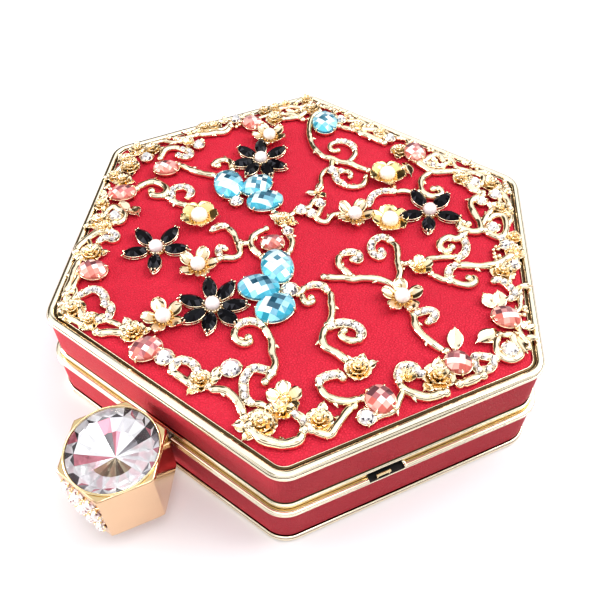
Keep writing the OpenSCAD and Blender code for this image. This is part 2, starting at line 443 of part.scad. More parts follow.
module filigree_border() color(pale_gold) cast(pz, filigree_h) border2d();
module filigree_vines() color(gold) cast(pz, filigree_h) difference() { vines2d(); border_keep(); }
module keep_vines() { border_keep(); offset(delta = 0.05) vines2d(); }
module flower_castings() color(gold) union() {
  cast(pz, filigree_h) difference() { flower2d(); keep_vines(); }
  for (f = five_petal) translate([f[0], f[1], fz]) difference() { cylinder(h = 0.6, r = pearl_r + 0.6, $fn = 32); translate([0, 0, -1]) cylinder(h = 3, r = pearl_r, $fn = 32); }
  for (f = cups) translate([f[0], f[1], fz]) difference() { cylinder(h = 0.9, r = pearl_r + 1.2, $fn = 32); translate([0, 0, -1]) cylinder(h = 3, r = pearl_r + 0.3, $fn = 32); }
}
module marquise_settings() color(gold) cast(pz, filigree_h) difference() { marquise2d(0.45); keep_vines(); offset(delta = 0.05) flower2d(); }
module stone_settings() color(gold) cast(pz, filigree_h) difference() { seats2d(); keep_vines(); offset(delta = 0.05) { flower2d(); marquise2d(0.45); } }

module faceted_oval(p, h) translate([0, 0, fz]) at(p) {
  linear_extrude(0.5) oval2d(p[2], p[3], 20);
  translate([0, 0, 0.5]) linear_extrude(h - 0.5, scale = 0.55) oval2d(p[2], p[3], 20);
}
module aqua_stones() color(aqua) for (p = aqua_ovals) faceted_oval(p, 2.8);
module rose_stones() color(rose) for (p = rose_ovals) faceted_oval(p, 2.5);
module black_marquise_stones() color(black) for (f = black_flowers) translate([f[0], f[1], fz])
  for (t = f[2]) rotate([0, 0, t]) translate([5.7, 0, 0]) {
    linear_extrude(0.5) polygon(marquise(7.2, 3.1));
    translate([0, 0, 0.5]) linear_extrude(1.1, scale = 0.5) polygon(marquise(7.2, 3.1));
  }
module clear_crystals() color(clear) for (p = crystals) translate([p[0], p[1], fz]) chaton(p[2] / 2, 1.7);
module dome(r) intersection() { sphere(r = r, $fn = 48); translate([-r, -r, 0]) cube([2 * r, 2 * r, r]); }
module flower_pearls() color(pearl) {
  for (f = five_petal) translate([f[0], f[1], fz]) dome(pearl_r - 0.01);
  for (f = cups) translate([f[0], f[1], fz]) dome(pearl_r + 0.29);
  for (f = black_flowers) translate([f[0], f[1], fz]) dome(2.05);
}
// small crystals sit along the scrolls marked for them, clear of every larger stone and flower
bigs = concat([for (p = concat(aqua_ovals, rose_ovals)) [p[0], p[1], p[2] / 2]], [for (p = crystals) [p[0], p[1], p[2] / 2]],
  [for (f = five_petal) [f[0], f[1], pearl_r + 0.6]], [for (f = cups) [f[0], f[1], pearl_r + 1.2]],
  [for (f = black_flowers, t = f[2], s = [3.4, 5.7, 8]) [f[0] + s * cos(t), f[1] + s * sin(t), 1.6]]);
function clear_of(q) = min([for (b = bigs) norm([q[0] - b[0], q[1] - b[1]]) - b[2]]) > pave_r + 0.15;
function length_to(q, n) = n == 0 ? 0 : norm(q[n] - q[n - 1]) + length_to(q, n - 1);
function along(q, s, i = 0) = i >= len(q) - 2 ? q[i + 1] : let (d = norm(q[i + 1] - q[i])) s <= d ? q[i] + (q[i + 1] - q[i]) * s / d : along(q, s - d, i + 1);
module pave_crystals() color(clear) for (v = concat(scrolls, edge_scrolls)) if (v[1] == 1) let (q = smooth(v[2]), total = length_to(q, len(q) - 1))
  for (i = [0:floor((total - 1.6) / pave_pitch)]) let (p = along(q, 0.8 + i * pave_pitch))
    if (clear_of(p)) translate([p[0], p[1], fz]) chaton(pave_r, 0.6);

base_shell();
base_side_cover();
base_bottom_panel();
base_bottom_rim();
base_seam_frame();
base_lining();
base_hinge_leaf();
base_hinge_rivets();
hinge_pin();
chain_notch_liners();
chain_bars();
clasp_bracket();
clasp_bracket_rivets();
clasp_pivot_pin();
clasp_spring();
lid_shell();
lid_side_cover();
lid_top_panel();
lid_top_rim();
lid_seam_frame();
lid_lining();
lid_hinge_leaf();
lid_hinge_rivets();
lid_catch();
filigree_border();
filigree_vines();
flower_castings();
marquise_settings();
stone_settings();
aqua_stones();
rose_stones();
black_marquise_stones();
clear_crystals();
pave_crystals();
flower_pearls();
clasp_housing();
clasp_stone();
clasp_collar();
clasp_pave_stones();
clasp_lever();
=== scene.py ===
import math
import random

import bpy
import numpy as np
from mathutils import Matrix, Vector

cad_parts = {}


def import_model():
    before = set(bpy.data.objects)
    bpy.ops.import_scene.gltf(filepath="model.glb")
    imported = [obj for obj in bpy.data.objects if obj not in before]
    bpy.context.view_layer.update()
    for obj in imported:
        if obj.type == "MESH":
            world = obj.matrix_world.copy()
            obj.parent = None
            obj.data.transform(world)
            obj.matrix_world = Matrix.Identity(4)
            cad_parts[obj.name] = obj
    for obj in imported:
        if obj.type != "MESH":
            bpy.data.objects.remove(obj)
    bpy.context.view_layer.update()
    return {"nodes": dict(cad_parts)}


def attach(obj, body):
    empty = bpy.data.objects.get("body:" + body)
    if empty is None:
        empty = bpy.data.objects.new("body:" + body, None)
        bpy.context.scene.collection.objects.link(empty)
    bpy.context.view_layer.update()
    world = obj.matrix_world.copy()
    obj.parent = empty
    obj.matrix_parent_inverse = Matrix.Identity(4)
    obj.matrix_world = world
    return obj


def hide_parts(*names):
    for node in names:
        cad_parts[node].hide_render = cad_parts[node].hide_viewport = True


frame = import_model()
RNG = random.Random(11)
MM = 0.001
D2R = math.pi / 180

# ------------------------------------------------------------------ sizes, in mm, as in the CAD
BO, SLANT = 62.8, 3.2
SEAM, TOP = 16.2, 32.6
LO = BO - 1.4
LP = LO - 3.1
CORE_B, CORE_L = BO - 8, LO - 7
PZ = 32.0
ZMAX = 36.38


def hexcorner(core, k):
    m, n = (-30 + 60 * k) * D2R, (30 + 60 * k) * D2R
    p = core if k % 3 == 2 else core + SLANT
    q = core if (k + 1) % 3 == 2 else core + SLANT
    return ((p * math.sin(n) - q * math.sin(m)) / math.sin(60 * D2R), (q * math.cos(m) - p * math.cos(n)) / math.sin(60 * D2R))


def hexloop(a, core, nc=14, ns=10):
    """Rounded hexagon at apothem a: nc steps round each corner, ns along each side. Inside the corner centres it shrinks to the middle."""
    if a < core + 1.2:
        u = a / (core + 1.2)
        return [(x * u, y * u) for x, y in hexloop(core + 1.2, core, nc, ns)]
    pts = []
    for k in range(6):
        c = hexcorner(core, k)
        for i in range(nc + 1):
            t = (-30 + 60 * k + 60 * i / nc) * D2R
            pts.append((c[0] + (a - core) * math.cos(t), c[1] + (a - core) * math.sin(t)))
        c2 = hexcorner(core, (k + 1) % 6)
        t = (30 + 60 * k) * D2R
        p = pts[-1]
        q = (c2[0] + (a - core) * math.cos(t), c2[1] + (a - core) * math.sin(t))
        for i in range(1, ns):
            u = i / ns
            pts.append((p[0] + (q[0] - p[0]) * u, p[1] + (q[1] - p[1]) * u))
    return pts


# ------------------------------------------------------------------ mesh collector
class Build:
    def __init__(self):
        self.v, self.f, self.mi, self.sm, self.col = [], [], [], [], []

    def add(self, verts, faces, mat=0, smooth=True, cols=None):
        o = len(self.v)
        self.v.extend(verts)
        for k, f in enumerate(faces):
            self.f.append(tuple(i + o for i in f))
            self.mi.append(mat)
            self.sm.append(smooth)
            self.col.append(cols[k] if cols else (1.0, 1.0, 1.0))

    def make(self, name, body, mats, slot=None, rep=()):
        me = bpy.data.meshes.new(name)
        me.from_pydata([(x * MM, y * MM, z * MM) for x, y, z in self.v], [], self.f)
        for m in mats:
            me.materials.append(m)
        me.polygons.foreach_set("material_index", self.mi)
        me.polygons.foreach_set("use_smooth", self.sm)
        ca = me.color_attributes.new("tint", "FLOAT_COLOR", "CORNER")
        data = []
        for f, c in zip(self.f, self.col):
            data.extend((c[0], c[1], c[2], 1.0) * len(f))
        ca.data.foreach_set("color", data)
        me.update()
        ob = bpy.data.objects.new(name, me)
        bpy.context.scene.collection.objects.link(ob)
        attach(ob, body)
        if rep:
            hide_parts(*rep)
        return ob


# ------------------------------------------------------------------ materials
def mat(name, color, metallic=0.0, rough=0.5, **kw):
    m = bpy.data.materials.new(name)
    m.use_nodes = True
    nt = m.node_tree
    b = nt.nodes["Principled BSDF"]
    b.inputs["Base Color"].default_value = (*color, 1)
    b.inputs["Metallic"].default_value = metallic
    b.inputs["Roughness"].default_value = rough
    for k, v in kw.items():
        b.inputs[k.replace("_", " ")].default_value = v
    return m, nt, b


def node(nt, kind, **kw):
    n = nt.nodes.new(kind)
    for k, v in kw.items():
        if k in n.bl_rna.properties.keys():
            setattr(n, k, v)
        else:
            n.inputs[k.replace("_", " ")].default_value = v
    return n


def coords(nt, scale=(1, 1, 1)):
    tc = node(nt, "ShaderNodeTexCoord")
    mp = node(nt, "ShaderNodeMapping")
    mp.inputs["Scale"].default_value = scale
    nt.links.new(tc.outputs["Object"], mp.inputs["Vector"])
    return mp.outputs["Vector"]


def noise(nt, vec, scale, detail=3, rough=0.5, dist=0.0):
    n = node(nt, "ShaderNodeTexNoise")
    n.inputs["Scale"].default_value = scale
    n.inputs["Detail"].default_value = detail
    n.inputs["Roughness"].default_value = rough
    n.inputs["Distortion"].default_value = dist
    nt.links.new(vec, n.inputs["Vector"])
    return n


def ramp(nt, fac, stops):
    r = node(nt, "ShaderNodeValToRGB")
    e = r.color_ramp.elements
    e[0].position, e[0].color = stops[0][0], (*stops[0][1], 1)
    e[1].position, e[1].color = stops[-1][0], (*stops[-1][1], 1)
    for p, c in stops[1:-1]:
        x = e.new(p)
        x.color = (*c, 1)
    nt.links.new(fac, r.inputs["Fac"])
    return r.outputs["Color"]


def to_range(nt, fac, lo, hi):
    r = node(nt, "ShaderNodeMapRange")
    r.inputs["To Min"].default_value = lo
    r.inputs["To Max"].default_value = hi
    nt.links.new(fac, r.inputs["Value"])
    return r.outputs["Result"]


def bump(nt, b, height, strength, dist, chain=None):
    n = node(nt, "ShaderNodeBump")
    n.inputs["Strength"].default_value = strength
    n.inputs["Distance"].default_value = dist
    nt.links.new(height, n.inputs["Height"])
    if chain:
        nt.links.new(chain, n.inputs["Normal"])
    nt.links.new(n.outputs["Normal"], b.inputs["Normal"])
    return n.outputs["Normal"]


def tint_node(nt):
    a = node(nt, "ShaderNodeVertexColor")
    a.layer_name = "tint"
    return a.outputs["Color"]


def mul(nt, a, b, fac=1.0):
    n = node(nt, "ShaderNodeMix")
    n.data_type = "RGBA"
    n.blend_type = "MULTIPLY"
    n.inputs["Factor"].default_value = fac
    nt.links.new(a, n.inputs[6])
    nt.links.new(b, n.inputs[7])
    return n.outputs[2]


def leather(name, base, dark, rough=0.42, spec=0.2):
    m, nt, b = mat(name, base, 0.0, rough, Specular_IOR_Level=spec, Coat_Weight=0.02, Coat_Roughness=0.3)
    v = coords(nt)
    big = noise(nt, v, 55, 2)
    fine = noise(nt, v, 1300, 3, 0.6)
    c = ramp(nt, big.outputs["Fac"], [(0.3, tuple(x * 0.93 for x in base)), (0.7, base)])
    vo = node(nt, "ShaderNodeTexVoronoi")
    vo.feature = "DISTANCE_TO_EDGE"
    vo.inputs["Scale"].default_value = 1450
    nt.links.new(v, vo.inputs["Vector"])
    grain = ramp(nt, vo.outputs["Distance"], [(0.0, dark), (0.16, (1, 1, 1))])
    speck = ramp(nt, fine.outputs["Fac"], [(0.35, (0.80, 0.72, 0.72)), (0.6, (1, 1, 1))])
    nt.links.new(mul(nt, mul(nt, c, grain, 0.28), speck, 0.3), b.inputs["Base Color"])
    nt.links.new(to_range(nt, fine.outputs["Fac"], rough - 0.09, rough + 0.12), b.inputs["Roughness"])
    g = ramp(nt, vo.outputs["Distance"], [(0.0, (0, 0, 0)), (0.2, (1, 1, 1))])
    n1 = bump(nt, b, g, 0.75, 0.00018)
    n2 = bump(nt, b, fine.outputs["Fac"], 0.4, 0.0002, n1)
    bump(nt, b, big.outputs["Fac"], 0.12, 0.0009, n2)
    return m


def gold(name, base, rough=0.16, wob=0.1, cast=False):
    m, nt, b = mat(name, base, 1.0, rough)
    v = coords(nt)
    n = noise(nt, v, 160 if cast else 60, 3)
    fine = noise(nt, v, 1400 if cast else 900, 2)
    c = ramp(nt, n.outputs["Fac"], [(0.3, tuple(x * (0.86 if cast else 0.93) for x in base)), (0.65, base)])
    nt.links.new(mul(nt, c, tint_node(nt)) if cast else c, b.inputs["Base Color"])
    nt.links.new(to_range(nt, fine.outputs["Fac"], rough - 0.05, rough + wob), b.inputs["Roughness"])
    if cast:
        bump(nt, b, n.outputs["Fac"], 0.3, 0.0008, bump(nt, b, fine.outputs["Fac"], 0.12, 0.0001))
    else:
        bump(nt, b, n.outputs["Fac"], 0.06, 0.0004)
    return m


def rim_metal(name, base, rough=0.13):
    m, nt, b = mat(name, base, 1.0, rough)
    v = coords(nt)
    n = noise(nt, v, 45, 3)
    fine = noise(nt, v, 1200, 2)
    c = ramp(nt, n.outputs["Fac"], [(0.3, tuple(x * 0.94 for x in base)), (0.7, base)])
    nt.links.new(mul(nt, c, tint_node(nt)), b.inputs["Base Color"])
    nt.links.new(to_range(nt, fine.outputs["Fac"], rough - 0.04, rough + 0.08), b.inputs["Roughness"])
    bump(nt, b, n.outputs["Fac"], 0.05, 0.0005)
    return m


def gem(name, metallic=0.35, rough=0.04, coat=1.0, painted_glow=0.0, spec=0.8):
    m, nt, b = mat(name, (1, 1, 1), metallic, rough, Specular_IOR_Level=spec, Coat_Weight=coat, Coat_Roughness=0.01, IOR=1.55)
    v = coords(nt)
    n = noise(nt, v, 420, 2)
    c = ramp(nt, n.outputs["Fac"], [(0.3, (0.86, 0.86, 0.86)), (0.7, (1, 1, 1))])
    col = mul(nt, tint_node(nt), c)
    nt.links.new(col, b.inputs["Base Color"])
    # emission from the facet tint: painted light, the stone gives off light of its own
    if painted_glow:
        nt.links.new(col, b.inputs["Emission Color"])
        b.inputs["Emission Strength"].default_value = painted_glow
    nt.links.new(to_range(nt, n.outputs["Fac"], max(0.01, rough - 0.02), rough + 0.03), b.inputs["Roughness"])
    return m


# top and side copies of the same red leather: the side copy is darker, painted shade on the walls
LEATHER = leather("red_leather_top", (0.67, 0.028, 0.061), (0.45, 0.3, 0.3), 0.46)
LEATHER_SIDE_SHADED = leather("red_leather_side_shaded", (0.505, 0.046, 0.064), (0.4, 0.26, 0.26), 0.5, 0.09)
LINING_M = leather("lining_cloth", (0.30, 0.01, 0.02), (0.3, 0.2, 0.2), 0.6)
GOLD = gold("polished_gold", (0.98, 0.80, 0.48), 0.14)
HINGE = gold("hinge_gold", (0.95, 0.84, 0.62), 0.18, 0.07)
# darker, pinker copy of the gold for the knob shell: painted shade from the shaded floor it reflects
KNOB_GOLD_SHADED = gold("knob_gold_shaded", (0.81, 0.56, 0.36), 0.12, 0.05)
CAST = gold("cast_gold", (0.99, 0.835, 0.61), 0.11, 0.08, cast=True)
RIM = rim_metal("rim_gold", (0.96, 0.87, 0.68), 0.11)
STEEL, _nt, _b = mat("plated_steel", (0.62, 0.62, 0.63), 1.0, 0.3)
_v = coords(_nt, (1, 12, 12))
_n = noise(_nt, _v, 500, 3)
_nt.links.new(to_range(_nt, _n.outputs["Fac"], 0.22, 0.42), _b.inputs["Roughness"])
bump(_nt, _b, _n.outputs["Fac"], 0.08, 0.0001)
# near-black for the chain notch liners: painted shade inside the notches
NOTCH_SHADE_BLACK, _nt, _b = mat("notch_liner_shade", (0.006, 0.005, 0.005), 0.0, 0.45)
_n = noise(_nt, coords(_nt), 1500, 2)
_nt.links.new(to_range(_nt, _n.outputs["Fac"], 0.35, 0.6), _b.inputs["Roughness"])
# emission values on the stones below are painted light
AQUA = gem("aqua_glass", 0.3, 0.05, 0.15, painted_glow=0.06, spec=0.5)
ROSE = gem("rose_glass", 0.25, 0.05, 0.05, painted_glow=0.05, spec=0.3)
JET = gem("black_glass", 0.0, 0.12, 0.0, spec=0.09)
CLEAR = gem("clear_glass", 0.4, 0.04, 0.3, painted_glow=0.04)
RIVOLI = gem("rivoli_foil", 0.5, 0.05, 0.0, painted_glow=0.16)
PEARL, _nt, _b = mat("pearl", (0.86, 0.76, 0.73), 0.0, 0.2, Coat_Weight=0.8, Coat_Roughness=0.06, Subsurface_Weight=0.0, Sheen_Weight=0.15, Specular_IOR_Level=0.6)
_v = coords(_nt)
_n = noise(_nt, _v, 300, 3)
# base colour darkens to pinkish brown towards the pearl's outline as the camera sees it: painted shade
_pearl_rim_shade = node(_nt, "ShaderNodeLayerWeight", Blend=0.35)
_nt.links.new(mul(_nt, ramp(_nt, _pearl_rim_shade.outputs["Facing"], [(0.0, (0.90, 0.83, 0.81)), (0.5, (0.88, 0.74, 0.72)), (0.8, (0.74, 0.56, 0.52)), (1.0, (0.55, 0.38, 0.32))]),
                  ramp(_nt, _n.outputs["Fac"], [(0.3, (0.94, 0.93, 0.95)), (0.7, (1, 1, 1))])), _b.inputs["Base Color"])
bump(_nt, _b, _n.outputs["Fac"], 0.04, 0.0002)


# clear cap of the large stone: gloss over a see-through body
CAP = bpy.data.materials.new("rivoli_cap")
CAP.use_nodes = True
_nt = CAP.node_tree
_nt.nodes.remove(_nt.nodes["Principled BSDF"])
_out = _nt.nodes["Material Output"]
_t = node(_nt, "ShaderNodeBsdfTransparent")
_t.inputs["Color"].default_value = (0.97, 0.97, 0.98, 1)
_g = node(_nt, "ShaderNodeBsdfGlossy")
_g.inputs["Roughness"].default_value = 0.02
_f = node(_nt, "ShaderNodeFresnel")
_f.inputs["IOR"].default_value = 1.5
_mx = node(_nt, "ShaderNodeMixShader")
_nt.links.new(_f.outputs["Fac"], _mx.inputs["Fac"])
_nt.links.new(_t.outputs["BSDF"], _mx.inputs[1])
_nt.links.new(_g.outputs["BSDF"], _mx.inputs[2])
_nt.links.new(_mx.outputs["Shader"], _out.inputs["Surface"])


# ------------------------------------------------------------------ swept rings round the case
def ring(b, profile, core, mat_i=0, cols=None, closed=True, smooth=True, nc=14, ns=10, wob=None):
    """profile: (apothem, z) points; swept round the rounded hexagon."""
    if closed and sum(p[0] * q[1] - q[0] * p[1] for p, q in zip(profile, profile[1:] + profile[:1])) < 0:
        profile = profile[::-1]
        if cols:
            cols = cols[:-1][::-1] + cols[-1:]
    loops = [hexloop(a, core, nc, ns) for a, z in profile]
    n = len(loops[0])
    verts, faces, fc = [], [], []
    for j, (lp, (a, z)) in enumerate(zip(loops, profile)):
        for i, (x, y) in enumerate(lp):
            dz = wob(x, y, j) if wob else 0
            verts.append((x, y, z + dz))
    m = len(profile)
    for j in range(m if closed else m - 1):
        k = (j + 1) % m
        for i in range(n):
            i2 = (i + 1) % n
            faces.append((j * n + i, j * n + i2, k * n + i2, k * n + i))
            fc.append(cols[j] if cols else (1, 1, 1))
    b.add(verts, faces, mat_i, smooth, fc)
    return n


def arc(cx, cz, r, t0, t1, n):
    return [(cx + r * math.cos((t0 + (t1 - t0) * i / n) * D2R), cz + r * math.sin((t0 + (t1 - t0) * i / n) * D2R)) for i in range(n + 1)]


W = (1, 1, 1)
# near-black tint for the lid rim's channel: painted shade
CHANNEL_SHADE = (0.10, 0.075, 0.045)
# very dark tint for the grooves and hidden undersides of the rims: painted shade
GROOVE_SHADE = (0.07, 0.05, 0.03)
# darker ochre tint for the lid seam frame's lower, downward-facing bead: painted shade
LOWER_BEAD_SHADE = (0.80, 0.62, 0.36)


def sharp(profile):
    """Splits every corner by short bevel points so that smooth shading keeps flats flat."""
    out = []
    m = len(profile)
    for j, p in enumerate(profile):
        a, c = profile[j - 1], profile[(j + 1) % m]
        for q in (a, c):
            d = math.hypot(q[0] - p[0], q[1] - p[1])
            s = min(0.05, d * 0.3)
            out.append((p[0] + (q[0] - p[0]) * s / d, p[1] + (q[1] - p[1]) * s / d))
    return out


# bottom rim: flat wall with a rolled upper bead; its grooves are tinted dark as painted shade
b = Build()
ring(b, [(60.9, 0.0), (62.35, 0.0), (62.7, 0.12), (62.8, 0.4), (62.8, 1.2), (62.72, 1.32), (62.55, 1.36), (62.55, 1.42), (62.68, 1.5), (62.72, 1.7),
         (62.62, 1.92), (62.4, 2.0), (60.9, 2.0)], CORE_B, cols=[W] * 5 + [GROOVE_SHADE] * 3 + [W] * 3 + [GROOVE_SHADE, W])
b.make("bottom_rim", "base", [RIM], "gilt", ["base_bottom_rim"])

# bottom board with a soft edge and a shallow welt
b = Build()
pr = [(60.9, 1.9), (60.9, 0.35), (60.7, 0.1), (60.3, 0.0), (54.0, 0.0), (53.6, 0.06), (53.2, 0.12), (52.8, 0.06), (52.4, 0.0), (30.0, 0.0), (9.0, 0.0)]
n = ring(b, pr, CORE_B, closed=False)
last = len(b.v) - n
b.v.append((0, 0, 0.0))
for i in range(n):
    b.f.append((last + i, last + (i + 1) % n, len(b.v) - 1))
    b.mi.append(0); b.sm.append(True); b.col.append(W)
b.make("bottom_board", "base", [LEATHER_SIDE_SHADED], "red_leather", ["base_bottom_panel"])


def box_pts(x0, x1, y0, y1, z0, z1, turn=0.0, mirror=False):
    ca, sa = math.cos(turn * D2R), math.sin(turn * D2R)
    pts = []
    for x, y, z in [(x0, y0, z0), (x1, y0, z0), (x1, y1, z0), (x0, y1, z0), (x0, y0, z1), (x1, y0, z1), (x1, y1, z1), (x0, y1, z1)]:
        q = (x * ca - y * sa, x * sa + y * ca, z)
        pts.append((-q[0], q[1], q[2]) if mirror else q)
    return pts


BOXF = [(0, 3, 2, 1), (4, 5, 6, 7), (0, 1, 5, 4), (1, 2, 6, 5), (2, 3, 7, 6), (3, 0, 4, 7)]


def cut(ob, boxes):
    """Takes boxes (given by their eight corners) out of a closed mesh."""
    for k, (pts, mirror) in enumerate(boxes):
        me = bpy.data.meshes.new("cutter")
        me.from_pydata([(x * MM, y * MM, z * MM) for x, y, z in pts], [], [tuple(reversed(f)) if mirror else f for f in BOXF])
        # faces left by a cut take this 0.8 grey tint, so the walls of the notches and the lever slot come out darker:
        # painted shade
        ca = me.color_attributes.new("tint", "FLOAT_COLOR", "CORNER")
        ca.data.foreach_set("color", [0.8, 0.8, 0.8, 1.0] * len(me.loops))
        co_ = bpy.data.objects.new("cutter", me)
        bpy.context.scene.collection.objects.link(co_)
        md = ob.modifiers.new("cut", "BOOLEAN")
        md.operation = "DIFFERENCE"
        md.solver = "EXACT"
        md.object = co_
        bpy.context.view_layer.update()
        dg = bpy.context.evaluated_depsgraph_get()
        new = bpy.data.meshes.new_from_object(ob.evaluated_get(dg), preserve_all_data_layers=True, depsgraph=dg)
        ob.modifiers.clear()
        ob.data = new
        bpy.data.objects.remove(co_)


LEVER_SLOT = (box_pts(-4.7, 4.7, -BO - 1, -BO + 3.8, SEAM - 3.6, SEAM + 1), False)
NOTCH_BASE = [(box_pts(BO + SLANT - 2.2, BO + SLANT + 1, -10.8, -1.1, 15.15, SEAM + 1, -30, m), m) for m in (False, True)]
NOTCH_LID = [(box_pts(LO + SLANT - 1.2, LO + SLANT + 1, -10.8, -1.1, SEAM - 1, SEAM + 1.2, -30, m), m) for m in (False, True)]


# leather bands, flat across the middle with tucked edges
def band(name, body, z0, z1, a_out, a_in, core, rep, crown=0.0):
    b = Build()
    prof = [(a_in, z0)]
    for u, d in ((0, 0.42), (0.015, 0.2), (0.04, 0.08), (0.09, 0.02), (0.2, 0.0), (0.35, 0.0), (0.5, 0.0), (0.65, 0.0), (0.8, 0.0), (0.91, 0.02), (0.96, 0.08), (0.985, 0.2), (1, 0.42)):
        prof.append((a_out - d, z0 + 0.02 + (z1 - z0 - 0.04) * u))
    prof.append((a_in, z1))
    ring(b, prof, core, ns=24)
    # the bands take the darker side leather: painted shade
    return b.make(name, body, [LEATHER_SIDE_SHADED], "red_leather", [rep])


cut(band("base_leather", "base", 2.0, 14.5, 62.2, 61.4, CORE_B, "base_side_cover"), [LEVER_SLOT])
band("lid_leather", "lid", 18.1, 30.7, 60.9, 60.1, CORE_L, "lid_side_cover")

# lid panel: leather drawn over a padded board
b = Build()
pr = [(58.28, 30.7), (58.28, 31.5), (58.2, 31.75), (58.0, 31.9), (57.6, 31.98), (57.0, 32.0), (50.0, 32.0), (40.0, 32.0), (25.0, 32.0), (10.0, 32.0)]
n = ring(b, pr, CORE_L, closed=False, ns=24)
last = len(b.v) - n
b.v.append((0, 0, 32.0))
for i in range(n):
    b.f.append((last + i, last + (i + 1) % n, len(b.v) - 1))
    b.mi.append(0); b.sm.append(True); b.col.append(W)
b.make("lid_leather_panel", "lid", [LEATHER], "red_leather", ["lid_top_panel"])

# lid top rim: thin lip, channel tinted near-black as painted shade, round bead, groove tinted dark as painted shade,
# flange
b = Build()
pr = [(58.3, 30.7), (58.3, 32.0), (58.34, 32.2), (58.42, 32.28), (58.52, 32.22), (58.58, 32.08), (58.66, 32.02), (59.14, 32.02), (59.22, 32.1)] + arc(60.15, 31.344, 1.256, 135, 46, 10)
pr += [(61.11, 32.08), (61.12, 31.94), (60.98, 31.88), (60.98, 31.74), (61.2, 31.72), (61.34, 31.66), (61.4, 31.5), (61.4, 31.0), (61.32, 30.8), (61.2, 30.7)]
ring(b, pr, CORE_L, cols=[W] * 4 + [CHANNEL_SHADE] * 4 + [W] * 13 + [GROOVE_SHADE] * 3 + [W] * 6, ns=30)
b.make("lid_rim", "lid", [RIM], "gilt", ["lid_top_rim"])

# seam frames; their grooves and undersides are tinted dark as painted shade
b = Build()
pr = [(58.7, 18.1), (58.7, 16.28), (60.9, 16.28), (61.16, 16.31), (61.32, 16.44), (61.36, 16.62), (61.32, 16.84), (61.2, 16.96), (61.0, 17.0), (61.0, 17.14), (61.2, 17.18), (61.34, 17.24), (61.4, 17.36),
      (61.4, 17.72), (61.34, 17.88), (61.2, 17.96), (60.95, 18.0), (60.95, 18.1)]
# the lower bead of this frame is tinted darker: painted shade
ring(b, pr, CORE_L, ns=30, cols=[W, GROOVE_SHADE] + [LOWER_BEAD_SHADE] * 5 + [GROOVE_SHADE] * 4 + [W] * 5 + [GROOVE_SHADE] * 2)
cut(b.make("lid_seam_rim", "lid", [RIM], "gilt", ["lid_seam_frame"]), NOTCH_LID)
b = Build()
pr = [(60.0, 16.12), (60.0, 14.5), (62.3, 14.5), (62.55, 14.54), (62.74, 14.66), (62.8, 14.82), (62.8, 14.96), (62.74, 15.06), (62.6, 15.1), (62.4, 15.12), (62.4, 15.24), (62.56, 15.28),
      (62.7, 15.38), (62.76, 15.56), (62.74, 15.76), (62.64, 15.95), (62.44, 16.08), (62.2, 16.12)]
ring(b, pr, CORE_B, ns=30, cols=[W, W] + [W] * 6 + [GROOVE_SHADE] * 4 + [W] * 6)
cut(b.make("base_seam_rim", "base", [RIM], "gilt", ["base_seam_frame"]), NOTCH_BASE + [LEVER_SLOT])

